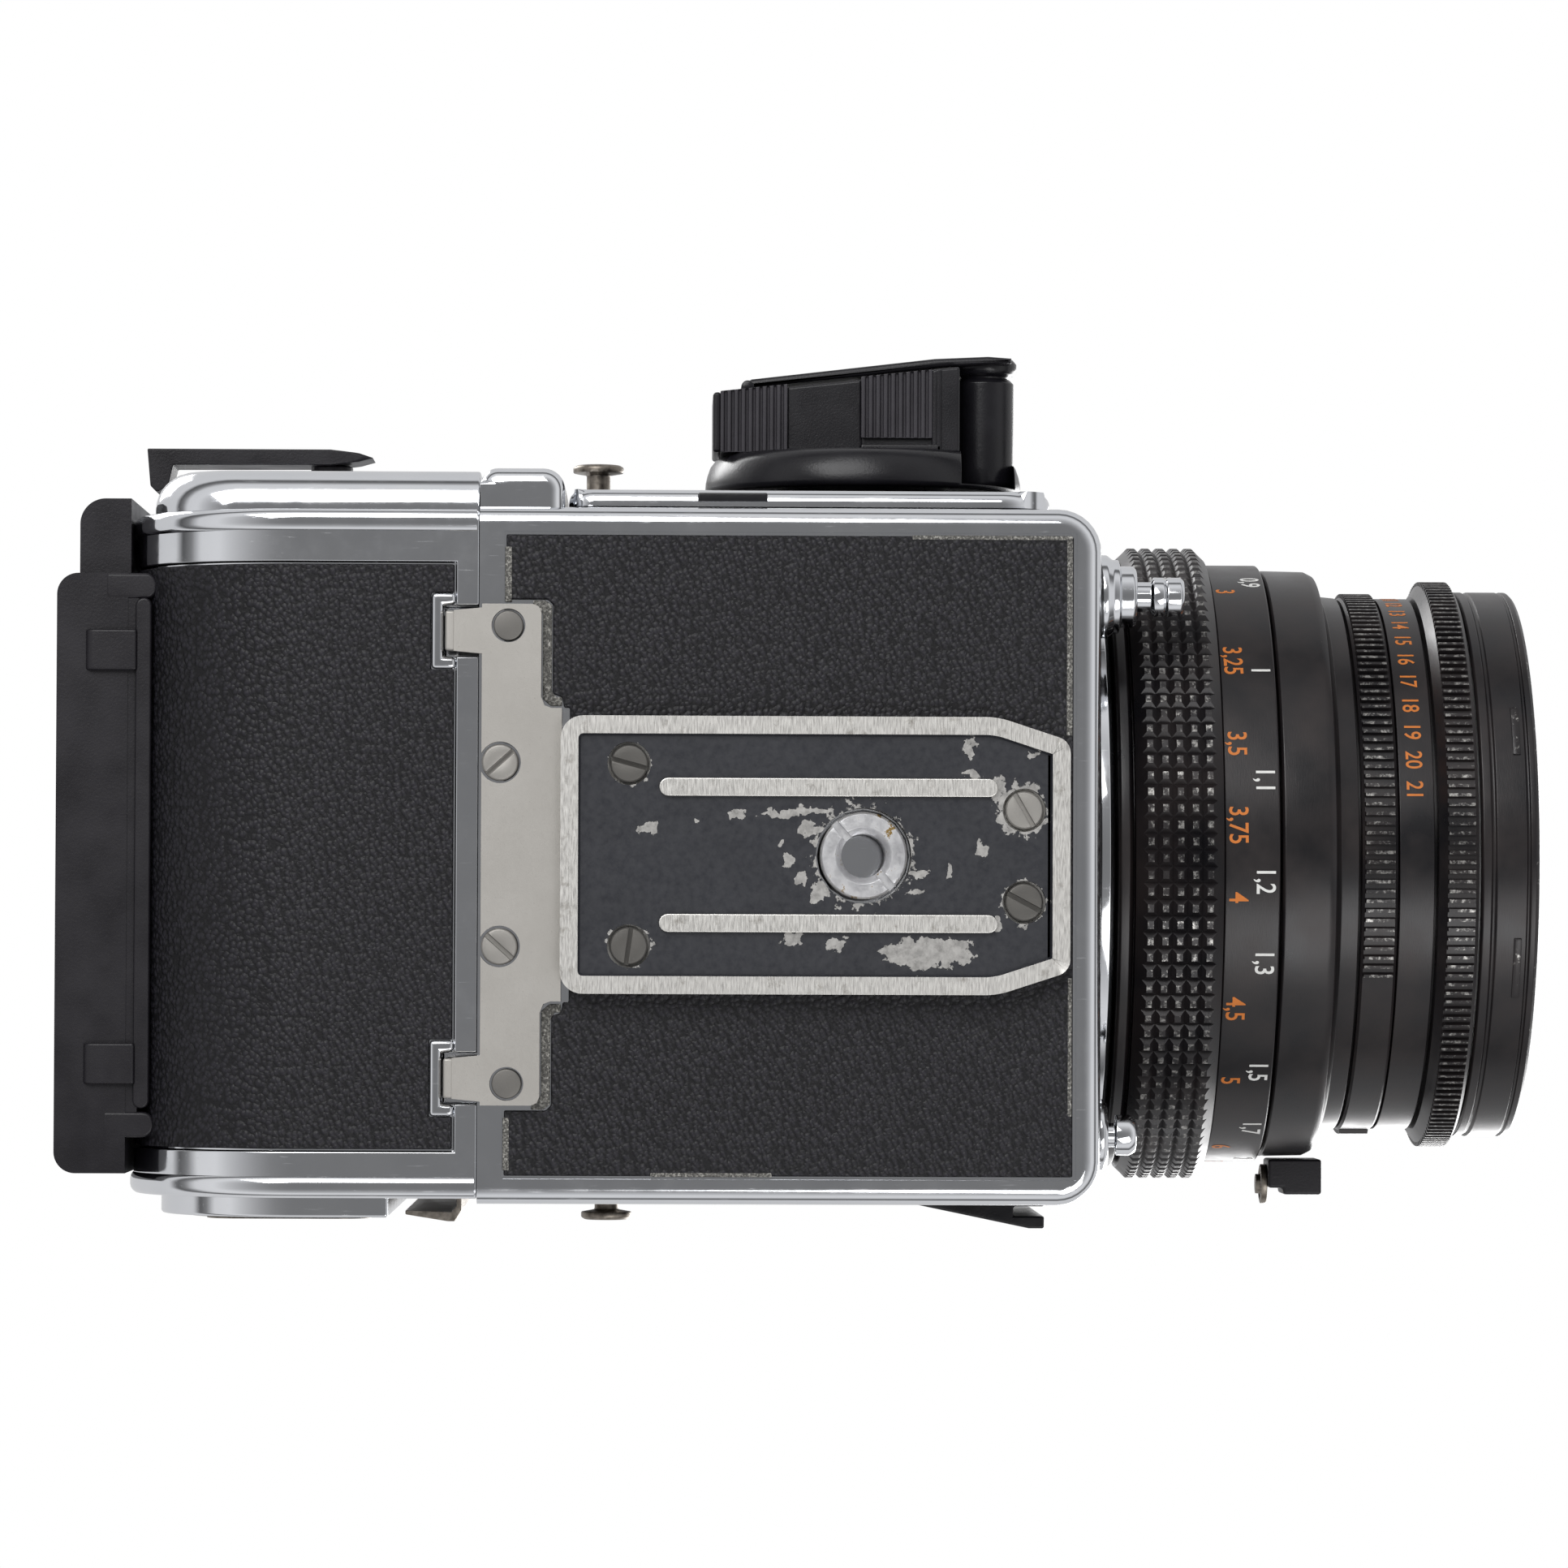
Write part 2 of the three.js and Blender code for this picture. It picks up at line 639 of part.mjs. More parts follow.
function magazineShell() {
  const housing = roundedRectangle(
    [GAP, -HOUSING.back],
    [HOUSING.bottom, HOUSING.top],
    [0, 10, 10, 0],
  );
  const coatRecess = cut(
    extrudedAcross(magazineProfile(-2, -2.6), coatX),
    extrudedAcross(magazineProfile(LEATHER.recess, 0), [coatX[0] - 1, coatX[1] + 1]),
  );
  const cavity = extrudedAcross(magazineProfile(MAGAZINE.wall, -MAGAZINE.gateWall), [-36.5, 42]);
  return cut(
    joined(
      extrudedAcross(magazineProfile(0, -GAP), magazineX),
      extrudedAcross(housing, [HOUSING.outside, -39]),
    ),
    coatRecess,
    cavity,
    block([-FILM_GATE, FILM_GATE], [-MAGAZINE.gateWall - 1, 1], [AXIS_Z - FILM_GATE, AXIS_Z + FILM_GATE]),
    block([-33, 42], [-3.1, -1.9], slideZ),
    ...hookSides.map((x) => notchOf(x, 0)),
    block([-30, 30], [-42, -39.8], [AXIS_Z - 5, AXIS_Z + 5]),
  );
}
part("magazine_shell", magazineShell(), CHROME);

part(
  "magazine_leather",
  cut(
    extrudedAcross(magazineProfile(LEATHER.recess - GAP - LEATHER.thickness, -2.9), [
      coatX[0] + GAP,
      coatX[1] - GAP,
    ]),
    extrudedAcross(magazineProfile(LEATHER.recess - GAP, 0), [-50, 50]),
    ...hookSides.map((x) => notchOf(x, NOTCH.rim)),
  ),
  LEATHERETTE,
);

const insertFront = -MAGAZINE.gateWall - GAP;
const endPlate = magazineProfile(MAGAZINE.wall + GAP, insertFront);
const sidePlate = magazineProfile(MAGAZINE.wall + 1, insertFront);
part(
  "film_insert",
  joined(
    extrudedAcross(endPlate, [36.2, 42]),
    extrudedAcross(sidePlate, [33, 36.8]),
    extrudedAcross(sidePlate, [-35.9, -34.3]),
    block([-35, 35], [-36, -13], [33.6, 57.6]),
  ),
  CHROME,
);

function spool(z, core) {
  const flange = (x) => rodX(SPOOL.flange, x, SPOOL.front, z);
  return joined(
    rodX(core, [-SPOOL.halfLength, SPOOL.halfLength], SPOOL.front, z),
    flange([-SPOOL.halfLength, -SPOOL.halfLength + 1]),
    flange([SPOOL.halfLength - 1, SPOOL.halfLength]),
  );
}
part("supply_spool", spool(SPOOL.bottomZ, 10.5), SPOOL_PLASTIC);
part("takeup_spool", spool(SPOOL.topZ, 6.3), SPOOL_PLASTIC);
part("pressure_plate", block([-29, 29], [-12.6, -10.9], [20, 77]), PAINTED_BLACK);

const slideOutline = polygon([
  [-32.5, 2.2],
  [41.6, 2.2],
  [42.9, 3.0],
  [42.9, 3.8],
  [42.1, 8.8],
  [41.6, 8.8],
  [41.8, 3.4],
  [41.1, 2.8],
  [-32.5, 2.8],
]);
part("dark_slide", extrudedUp(slideOutline, [slideZ[0] + GAP, slideZ[1] - GAP]), STEEL);

const holderDepth = (back) => [GAP - MAGAZINE.back, -back];
part(
  "dark_slide_holder",
  cut(
    joined(
      extrudedUp(
        roundedRectangle([HOLDER.right, HOLDER.left], holderDepth(HOLDER.back), [0, 0, 2.5, 2.5]),
        [13, 80],
      ),
      extrudedUp(
        roundedRectangle([HOLDER.sideRight, HOLDER.right + 1], holderDepth(HOLDER.sideBack), [0, 0, 0, 3]),
        [17, 76],
      ),
    ),
    block([-30.5, 35.5], [-46.5, -45.1], [16, 81]),
  ),
  BLACK_PLASTIC,
);

const WINDER = { front: -20, z: 60 };
const leverOutline = roundedRectangle([-WINDER.front - 5, 42.6], [WINDER.z - 4, WINDER.z + 4], [4, 2, 2, 4]);
part(
  "magazine_crank",
  joined(
    extrudedAcross(leverOutline, [-49.6, -47.6]),
    rodX(6.2, [-50.3, HOUSING.outside - GAP], WINDER.front, WINDER.z),
    rodX(3.4, [-50.9, -48], -40, WINDER.z),
  ),
  BLACK_PLASTIC,
);
part(
  "magazine_latch",
  joined(
    block([-9, 9], [-14, -6], [MAGAZINE.top + GAP, 89.6]),
    block([-6, 6], [-12, -8], [89.4, 91.2]),
  ),
  CHROME,
);
const keyOutline = roundedRectangle([14, 34], [AXIS_Z - 6, AXIS_Z + 2], [4, 4, 4, 4]);
const keyHole = roundedRectangle([16.2, 31.8], [AXIS_Z - 3.8, AXIS_Z - 0.2], [1.8, 1.8, 1.8, 1.8]);
part(
  "insert_key",
  cut(extrudedAcross(keyOutline, [42.3, 43.6]), extrudedAcross(keyHole, [42, 45])),
  STEEL,
);

// ---------- folding hood on the body's top ----------
const hoodX = [-HOOD.halfWidth, HOOD.halfWidth];
part(
  "hood_frame",
  cut(
    block(hoodX, [HOOD.back, HOOD.front], [HOOD.bottom, HOOD.rim]),
    block([-34.4, 34.4], [4.6, 67.4], [93, 104]),
    block([-29, 29], [8, 64], [90, 94]),
  ),
  PAINTED_BLACK,
);
const lidX = HOOD.halfWidth + 0.2;
const lidBack = HOOD.back - 0.2;
part(
  "hood_lid",
  cut(
    extrudedAcross(
      roundedRectangle([-LID.hingeFront - 0.6, -lidBack], [LID.skirtBottom, LID.top], [0, 0, 2.5, 2.5]),
      [-lidX, lidX],
    ),
    block(
      [-lidX + LID.skirt, lidX - LID.skirt],
      [lidBack + LID.skirt, LID.hingeFront + 2],
      [100, LID.top - LID.plate],
    ),
    block([-40, 40], [LID.hingeFront - 1.2, LID.hingeFront + 2], [100, LID.hingeZ + 3]),
  ),
  PAINTED_BLACK,
);
// A side panel is cut back at 45 degrees at its front corner, so it opens under the lid.
function sidePanel(sign) {
  const root = sign * SIDE_PANEL.hingeX;
  const tip = sign * (SIDE_PANEL.hingeX - SIDE_PANEL.width);
  const outline = polygon([
    [root, -66.5],
    [tip, -66.5 + SIDE_PANEL.width],
    [tip, -8],
    [root, -8],
  ]);
  const z = [SIDE_PANEL.z - SIDE_PANEL.thickness / 2, SIDE_PANEL.z + SIDE_PANEL.thickness / 2];
  return extrudedUp(outline, z);
}
part("hood_right_panel", sidePanel(-1), PAINTED_BLACK);
part("hood_left_panel", sidePanel(1), PAINTED_BLACK);

const rearHalf = 31;
const rearPanel = polygon([
  [-rearHalf, -REAR_PANEL.hingeFront - 0.6],
  [rearHalf, -REAR_PANEL.hingeFront - 0.6],
  [rearHalf - REAR_PANEL.height, -REAR_PANEL.hingeFront - REAR_PANEL.height],
  [-rearHalf + REAR_PANEL.height, -REAR_PANEL.hingeFront - REAR_PANEL.height],
]);
part(
  "hood_rear_panel",
  extrudedUp(rearPanel, [REAR_PANEL.z - REAR_PANEL.thickness / 2, REAR_PANEL.z + REAR_PANEL.thickness / 2]),
  PAINTED_BLACK,
);

const MAGNIFIER = { hingeFront: 34, z: 106, radius: 11.5, front: 21.5 };
part(
  "magnifier",
  joined(
    rodUp(MAGNIFIER.radius, [MAGNIFIER.z - 0.7, MAGNIFIER.z + 0.7], 0, MAGNIFIER.front, ROUND),
    block([-9, 9], [MAGNIFIER.front, MAGNIFIER.hingeFront], [MAGNIFIER.z - 0.5, MAGNIFIER.z + 0.5]),
  ),
  PAINTED_BLACK,
);

// ---------- whole object: its box's bottom centre becomes the origin ----------
camera.position.set(8.2, (FRONT + HOLDER.back) / 2, 0);
const root = new THREE.Group();
root.add(camera);

export default root;
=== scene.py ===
import math

import bpy
from mathutils import Matrix, Vector


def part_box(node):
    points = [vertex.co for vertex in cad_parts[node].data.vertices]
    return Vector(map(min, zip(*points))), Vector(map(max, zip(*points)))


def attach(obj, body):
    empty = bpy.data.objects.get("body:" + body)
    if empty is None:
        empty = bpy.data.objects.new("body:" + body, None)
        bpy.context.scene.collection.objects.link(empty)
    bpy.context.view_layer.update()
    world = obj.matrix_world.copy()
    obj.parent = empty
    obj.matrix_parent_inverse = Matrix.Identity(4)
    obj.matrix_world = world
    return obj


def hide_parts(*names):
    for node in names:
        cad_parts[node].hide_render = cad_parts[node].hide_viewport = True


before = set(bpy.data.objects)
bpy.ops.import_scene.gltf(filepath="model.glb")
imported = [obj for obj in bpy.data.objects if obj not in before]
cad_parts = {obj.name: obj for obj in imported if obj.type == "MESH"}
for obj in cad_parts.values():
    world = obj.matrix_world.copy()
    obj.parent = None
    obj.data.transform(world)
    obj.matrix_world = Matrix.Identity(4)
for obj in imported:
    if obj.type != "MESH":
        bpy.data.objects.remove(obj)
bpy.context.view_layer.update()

# ---------------------------------------------------------------------------
# Body casting. A box die cast in light alloy, polished and bright chromed, open to
# the lens, the magazine and the hood. Its edges are broken with a small radius, and
# a sunk field on each outer face takes the covering.
MM = 0.001
ring_low, ring_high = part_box("focus_ring")
AXIS = (ring_low + ring_high) / 2  # the lens axis
JOINT_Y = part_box("body_shell")[1].y  # where the magazine meets the body
LENS_Z = AXIS.z / MM


def spot(x, front, z):
    """A place in metres from millimetres across, ahead of the magazine joint and up."""
    return Vector((AXIS.x + x * MM, JOINT_Y - front * MM, z * MM))


def only(piece):
    bpy.ops.object.select_all(action="DESELECT")
    piece.select_set(True)
    bpy.context.view_layer.objects.active = piece


def copied(node, name):
    """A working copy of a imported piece, its loose triangles joined up."""
    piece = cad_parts[node].copy()
    piece.data = piece.data.copy()
    piece.parent = None
    for key in list(piece.keys()):
        del piece[key]
    piece.name = name
    bpy.context.scene.collection.objects.link(piece)
    piece.data.materials.clear()
    only(piece)
    bpy.ops.object.mode_set(mode="EDIT")
    bpy.ops.mesh.select_all(action="SELECT")
    bpy.ops.mesh.remove_doubles(threshold=0.002 * MM)
    bpy.ops.mesh.dissolve_limited(angle_limit=math.radians(0.5))
    bpy.ops.object.mode_set(mode="OBJECT")
    return piece


def rounded(piece, width, segments=2, angle=30):
    """Breaks every sharp edge of a piece with a small radius and smooths what is left."""
    edge = piece.modifiers.new("broken_edge", "BEVEL")
    edge.width = width * MM
    edge.segments = segments
    edge.limit_method = "ANGLE"
    edge.angle_limit = math.radians(angle)
    edge.use_clamp_overlap = True
    only(piece)
    bpy.ops.object.modifier_apply(modifier=edge.name)
    bpy.ops.object.shade_smooth_by_angle(angle=math.radians(angle + 5))
    even = piece.modifiers.new("even_shading", "WEIGHTED_NORMAL")
    even.keep_sharp = True
    bpy.ops.object.modifier_apply(modifier=even.name)
    return piece


def fitted(piece, body, slot, materials, *nodes):
    """Gives a piece its finishes and its place on the camera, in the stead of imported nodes."""
    for index, material in enumerate(materials):
        if index < len(piece.data.materials):
            piece.data.materials[index] = material
        else:
            piece.data.materials.append(material)
    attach(piece, body)
    if nodes:
        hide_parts(*nodes)
    return piece


def new_finish(name):
    """A material with its node tree, its shader and the place on the piece."""
    material = bpy.data.materials.new(name)
    material.use_nodes = True
    tree = material.node_tree
    place = tree.nodes.new("ShaderNodeTexCoord").outputs["Object"]
    return material, tree, tree.nodes["Principled BSDF"], place


def stretched(tree, place, scale):
    mapping = tree.nodes.new("ShaderNodeMapping")
    mapping.inputs["Scale"].default_value = scale
    tree.links.new(place, mapping.inputs["Vector"])
    return mapping.outputs["Vector"]


def noise(tree, place, size, detail=3.0, roughness=0.55):
    """Mottled noise whose spots are about size millimetres across."""
    node = tree.nodes.new("ShaderNodeTexNoise")
    node.inputs["Scale"].default_value = 1 / (size * MM)
    node.inputs["Detail"].default_value = detail
    node.inputs["Roughness"].default_value = roughness
    tree.links.new(place, node.inputs["Vector"])
    return node.outputs["Fac"]


def graded(tree, value, low, high, low_out=0.0, high_out=1.0):
    """Maps a value's range onto another, clamped."""
    node = tree.nodes.new("ShaderNodeMapRange")
    for name, number in (("From Min", low), ("From Max", high), ("To Min", low_out), ("To Max", high_out)):
        node.inputs[name].default_value = number
    tree.links.new(value, node.inputs["Value"])
    return node.outputs["Result"]


def arithmetic(tree, operation, first, second):
    node = tree.nodes.new("ShaderNodeMath")
    node.operation = operation
    for socket, value in zip(node.inputs, (first, second)):
        if isinstance(value, (int, float)):
            socket.default_value = value
        else:
            tree.links.new(value, socket)
    return node.outputs["Value"]


def blended(tree, share, first, second):
    """Two colours mixed by a share; each is a colour or another node's output."""
    node = tree.nodes.new("ShaderNodeMix")
    node.data_type = "RGBA"
    tree.links.new(share, node.inputs["Factor"])
    for name, value in (("A", first), ("B", second)):
        socket = [s for s in node.inputs if s.name == name and s.type == "RGBA"][0]
        if isinstance(value, tuple):
            socket.default_value = (*value, 1)
        else:
            tree.links.new(value, socket)
    return [s for s in node.outputs if s.type == "RGBA"][0]


def raised(tree, shader, height, depth, strength=1.0):
    """Lifts the surface by a height, depth millimetres at most."""
    node = tree.nodes.new("ShaderNodeBump")
    node.inputs["Distance"].default_value = depth * MM
    node.inputs["Strength"].default_value = strength
    tree.links.new(height, node.inputs["Height"])
    if shader.inputs["Normal"].links:
        tree.links.new(shader.inputs["Normal"].links[0].from_socket, node.inputs["Normal"])
    tree.links.new(node.outputs["Normal"], shader.inputs["Normal"])


def bright_chrome():
    """Polished chrome plate with hairline scratches and a faint waviness."""
    material, tree, shader, place = new_finish("bright_chrome")
    shader.inputs["Metallic"].default_value = 1
    mottle = noise(tree, place, 9, 2)
    hairs = noise(tree, stretched(tree, place, (1, 0.06, 1)), 0.25, 2)
    tree.links.new(
        blended(tree, mottle, (0.64, 0.655, 0.685), (0.76, 0.77, 0.79)),
        shader.inputs["Base Color"],
    )
    smear = graded(tree, noise(tree, place, 5, 5, 0.7), 0.4, 0.75, 0.07, 0.17)
    scratch = graded(tree, hairs, 0.66, 0.72, 0.0, 0.12)
    tree.links.new(arithmetic(tree, "ADD", smear, scratch), shader.inputs["Roughness"])
    raised(tree, shader, mottle, 0.02, 0.35)
    return material


def pick(piece, kind, test):
    """Opens a piece for editing with only the faces or edges that pass a test selected."""
    only(piece)
    bpy.ops.object.mode_set(mode="EDIT")
    bpy.ops.mesh.select_mode(type=kind)
    bpy.ops.mesh.select_all(action="DESELECT")
    bpy.ops.object.mode_set(mode="OBJECT")
    mesh = piece.data
    if kind == "FACE":
        for face in mesh.polygons:
            face.select = bool(test(face.center, face.normal))
    else:
        for edge in mesh.edges:
            a, b = (mesh.vertices[i].co for i in edge.vertices)
            edge.select = bool(test((a + b) / 2, (b - a).normalized()))
    bpy.ops.object.mode_set(mode="EDIT")


def close_edit():
    bpy.ops.object.mode_set(mode="OBJECT")


def across(point):
    """A point's distance to the left of the lens axis, in millimetres."""
    return (point.x - AXIS.x) / MM


def ahead(point):
    """A point's distance ahead of the magazine joint, in millimetres."""
    return (JOINT_Y - point.y) / MM


def slab(name, x, front, z):
    """A block between two places, in millimetres."""
    start, end = spot(x[0], front[0], z[0]), spot(x[1], front[1], z[1])
    bpy.ops.object.select_all(action="DESELECT")
    bpy.ops.mesh.primitive_cube_add(size=1, location=(start + end) / 2)
    piece = bpy.context.object
    piece.scale = [abs(length) for length in end - start]
    piece.name = name
    bpy.ops.object.transform_apply(location=True, rotation=True, scale=True)
    return piece


def seamed(piece):
    """Merges doubles and turns every face outward."""
    only(piece)
    bpy.ops.object.mode_set(mode="EDIT")
    bpy.ops.mesh.select_all(action="SELECT")
    bpy.ops.mesh.remove_doubles(threshold=0.001 * MM)
    bpy.ops.mesh.normals_make_consistent(inside=False)
    bpy.ops.object.mode_set(mode="OBJECT")
    return piece


def cut_out(piece, cutter):
    """Cuts one piece's shape out of another and throws the cutter away."""
    hole = piece.modifiers.new("hole", "BOOLEAN")
    hole.operation = "DIFFERENCE"
    hole.solver = "EXACT"
    hole.object = cutter
    only(piece)
    bpy.ops.object.modifier_apply(modifier=hole.name)
    bpy.data.objects.remove(cutter)
    return piece


def outlined(name, outline, start, end, along="up"):
    """A flat outline pushed out to a thickness: (x, front) up, (front, z) across or (x, z) forward."""

    def place(a, b, depth):
        if along == "up":
            return spot(a, b, depth)
        if along == "across":
            return spot(depth, a, b)
        return spot(a, depth, b)

    bpy.ops.object.select_all(action="DESELECT")
    bpy.ops.mesh.primitive_circle_add(vertices=len(outline), radius=MM, fill_type="NGON")
    piece = bpy.context.object
    piece.name = name
    bpy.ops.object.transform_apply(location=True, rotation=True, scale=True)
    for vertex, (a, b) in zip(piece.data.vertices, outline):
        vertex.co = place(a, b, start)
    bpy.ops.object.mode_set(mode="EDIT")
    bpy.ops.mesh.select_all(action="SELECT")
    travel = place(0, 0, end) - place(0, 0, start)
    bpy.ops.mesh.extrude_region_move(TRANSFORM_OT_translate={"value": travel})
    bpy.ops.object.mode_set(mode="OBJECT")
    return seamed(piece)


def arc(a, b, radius, start, end, steps=8):
    """Points on an arc about (a, b), angles in degrees."""
    turns = [math.radians(start + (end - start) * i / steps) for i in range(steps + 1)]
    return [(a + radius * math.cos(t), b + radius * math.sin(t)) for t in turns]


CHROME = bright_chrome()
shell = copied("body_shell", "body_casting")
low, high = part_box("body_shell")
depth, half, floor_z, top_z = 72.0, 40.3, low.z / MM, high.z / MM
outline = [(half, 0), (-half, 0)] + arc(-half + 5, depth - 5, 5, 180, 90) + arc(half - 5, depth - 5, 5, 90, 0)
envelope = outlined("envelope", outline, floor_z, top_z)
pick(envelope, "EDGE", lambda middle, along: middle.z < (floor_z + 0.02) * MM and ahead(middle) > 0.5)
bpy.ops.mesh.bevel(offset=2.0 * MM, segments=6, affect="EDGES")
close_edit()
outline = [(-38, 0), (-42.9, 0)] + arc(-42.9, 2, 2, -90, -180) + arc(-42.4, 7.3, 2.5, 180, 90) + [(-38, 9.8)]
pillar = outlined("pillar_envelope", outline[1:] + outline[:1], floor_z + 2, top_z - 2)
pick(
    pillar, "EDGE", lambda middle,
    along: middle.z < (floor_z + 2.02) * MM and across(middle) < -39 and ahead(middle) > 0.05,
)
bpy.ops.mesh.bevel(offset=1.8 * MM, segments=6, affect="EDGES")
close_edit()
for kind, other in (("UNION", pillar), ("INTERSECT", shell)):
    shape = envelope.modifiers.new("shape", "BOOLEAN")
    shape.operation, shape.solver, shape.object = kind, "EXACT", other
    only(envelope)
    bpy.ops.object.modifier_apply(modifier=shape.name)
    bpy.data.objects.remove(other)
envelope.name = "body_casting"
fitted(rounded(envelope, 0.3, 3), "camera_body", "chromed_body", [CHROME], "body_shell")

# ---------------------------------------------------------------------------
# Coverings. Thin pebbled black leatherette, die cut and glued into the sunk fields of
# the bottom, front and left faces and of the right-hand cover, with turned-down edges.


def pebbled_leatherette():
    """Black coated cloth pressed with a close pebble about 0.6 mm across; its colour carries a painted
    highlight on each pebble's crown and painted shade in the creases between pebbles.
    """
    material, tree, shader, place = new_finish("pebbled_leatherette")
    warp = tree.nodes.new("ShaderNodeTexNoise")
    warp.inputs["Scale"].default_value = 900
    tree.links.new(place, warp.inputs["Vector"])
    bend = tree.nodes.new("ShaderNodeVectorMath")
    bend.operation = "MULTIPLY_ADD"
    bend.inputs[1].default_value = (0.0005, 0.0005, 0.0005)
    tree.links.new(warp.outputs["Color"], bend.inputs[0])
    tree.links.new(place, bend.inputs[2])
    cells = tree.nodes.new("ShaderNodeTexVoronoi")
    cells.feature = "F1"
    cells.inputs["Scale"].default_value = 1 / (0.62 * MM)
    tree.links.new(bend.outputs["Vector"], cells.inputs["Vector"])
    dome = graded(tree, arithmetic(tree, "POWER", cells.outputs["Distance"], 1.6), 0.0, 0.62, 1.0, 0.0)
    fine = noise(tree, place, 0.2, 3)
    height = arithmetic(tree, "ADD", dome, arithmetic(tree, "MULTIPLY", fine, 0.2))
    # Painted highlight and painted shade: each pebble's crown is coloured lighter and the creases between
    # pebbles darker.
    tone = blended(tree, graded(tree, dome, 0.25, 0.95), (0.0020, 0.0018, 0.0028), (0.0150, 0.0140, 0.0190))
    broad = graded(tree, noise(tree, place, 14, 3), 0.3, 0.8, 0, 0.3)
    tree.links.new(blended(tree, broad, tone, (0.008, 0.0075, 0.010)), shader.inputs["Base Color"])
    tree.links.new(graded(tree, fine, 0.3, 0.7, 0.40, 0.55), shader.inputs["Roughness"])
    shader.inputs["Specular IOR Level"].default_value = 0.30
    raised(tree, shader, height, 0.14, 0.9)
    return material


LEATHERETTE = pebbled_leatherette()
for node in ("left_leather", "front_leather", "right_leather"):
    skin = rounded(copied(node, node.replace("leather", "covering")), 0.18, 3)
    fitted(skin, "camera_body", "leatherette", [LEATHERETTE], node)

# The glue line round the bottom covering: a narrow strip of bare casting, rubbed dull and
# speckled with old cement, left between the leatherette and the chromed border.


def speckled_casting():
    material, tree, shader, place = new_finish("speckled_casting")
    shader.inputs["Metallic"].default_value = 0.8
    speck = graded(tree, noise(tree, place, 0.28, 4, 0.7), 0.42, 0.60)
    tree.links.new(
        blended(tree, speck, (0.10, 0.098, 0.092), (0.42, 0.41, 0.38)), shader.inputs["Base Color"],
    )
    shader.inputs["Roughness"].default_value = 0.5
    raised(tree, shader, speck, 0.08)
    return material


low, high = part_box("bottom_leather")
half_field = [
    (0, 3.1), (16.6, 3.1), (16.6, 9.9), (18.2, 9.6), (18.6, 8.5), (28.9, 8.5), (29.5, 7.9),
    (29.5, 3.1), (37.0, 3.1), (37.0, 68.7), (0, 68.7),
]
field = half_field[1:-1] + [(-x, front) for x, front in half_field[-2:0:-1]]
skin = outlined("bottom_covering", field, low.z / MM, high.z / MM)
coupling_place = [(-15, 10.4), (15, 10.4), (15, 60), (12.4, 67.4), (-12.4, 67.4), (-15, 60)]
cut_out(skin, outlined("coupling_place", coupling_place, 0, 6))
cut_out(skin, slab("tee_place", (-17, 17), (0, 10.5), (0, 6)))
fitted(rounded(skin, 0.18, 3), "camera_body", "leatherette", [LEATHERETTE], "bottom_leather")

SPECKLE = speckled_casting()
proud = low.z / MM - 0.03
for name, start, end, near, far in (
    ("back_right", -35.6, -29.2, 2.95, 3.75), ("back_left", 30.3, 36.4, 2.95, 3.7), (
        "front_right", -36.6, -14, 67.9, 68.6,
    ),
    ("front_left", 14, 30, 68.1, 68.6), ("right_edge", -37.1, -36.6, 50, 68.6), (
        "left_edge", 36.6, 37.1, 20, 34,
    ),
):
    cement = slab(f"cement_{name}", (start, end), (near, far), (proud, proud + 0.3))
    fitted(rounded(cement, 0.1, 2), "camera_body", "bare_metal", [SPECKLE])
for name, side in (("right", -1), ("left", 1)):
    strip = [
        (17.2, 9.6), (17.2, 8.3), (18.0, 7.35), (27.8, 7.35), (29.0, 6.2), (29.4, 6.2), (29.4, 7.6),
        (28.8, 8.4), (19.0, 8.4), (18.2, 8.9), (18.2, 9.6),
    ]
    strip = [(side * x, front) for x, front in strip]
    cement = outlined(f"cement_tee_{name}", strip, proud + 0.1, proud + 0.5)
    fitted(rounded(cement, 0.12, 2), "camera_body", "bare_metal", [SPECKLE])

# ---------------------------------------------------------------------------
# Right side. A raised chromed cover over the winding gears, with its own covering, and
# a small dark slot in its lower wall.


def blackened(name, colour, roughness, grain=0.35, depth=0.02):
    """Dark moulded or painted stuff with a fine grain and slight handling shine."""
    material, tree, shader, place = new_finish(name)
    speck = noise(tree, place, grain, 3)
    broad = noise(tree, place, 8, 3)
    lighter = tuple(min(1, c * 1.7 + 0.003) for c in colour)
    tree.links.new(
        blended(tree, graded(tree, broad, 0.3, 0.75), colour, lighter), shader.inputs["Base Color"],
    )
    tree.links.new(
        graded(tree, broad, 0.3, 0.7, roughness - 0.06, roughness + 0.08),
        shader.inputs["Roughness"],
    )
    shader.inputs["Specular IOR Level"].default_value = 0.36
    raised(tree, shader, speck, depth, 0.8)
    return material


BLACK_PAINT = blackened("black_enamel", (0.0045, 0.0042, 0.0060), 0.28)
cover = copied("right_cover", "gear_cover")


def cover_rim(middle, along):
    edge = min(
        ahead(middle) - 10.2, 66.4 - ahead(middle), middle.z / MM - cover_low,
        cover_high - middle.z / MM,
    )
    return across(middle) < -42.5 and abs(along.x) < 0.1 and edge < 0.6


cover_low, cover_high = (corner.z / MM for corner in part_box("right_cover"))
pick(cover, "EDGE", cover_rim)
bpy.ops.mesh.bevel(offset=1.5 * MM, segments=6, affect="EDGES")
close_edit()
rounded(cover, 0.2, 2)
fitted(cover, "camera_body", "chromed_body", [CHROME], "right_cover")
slot_strip = rounded(slab("cover_slot", (-42.2, -41.1), (25.2, 33.3), (6.72, 7.6)), 0.2, 2)
fitted(slot_strip, "camera_body", "black_paint", [BLACK_PAINT])


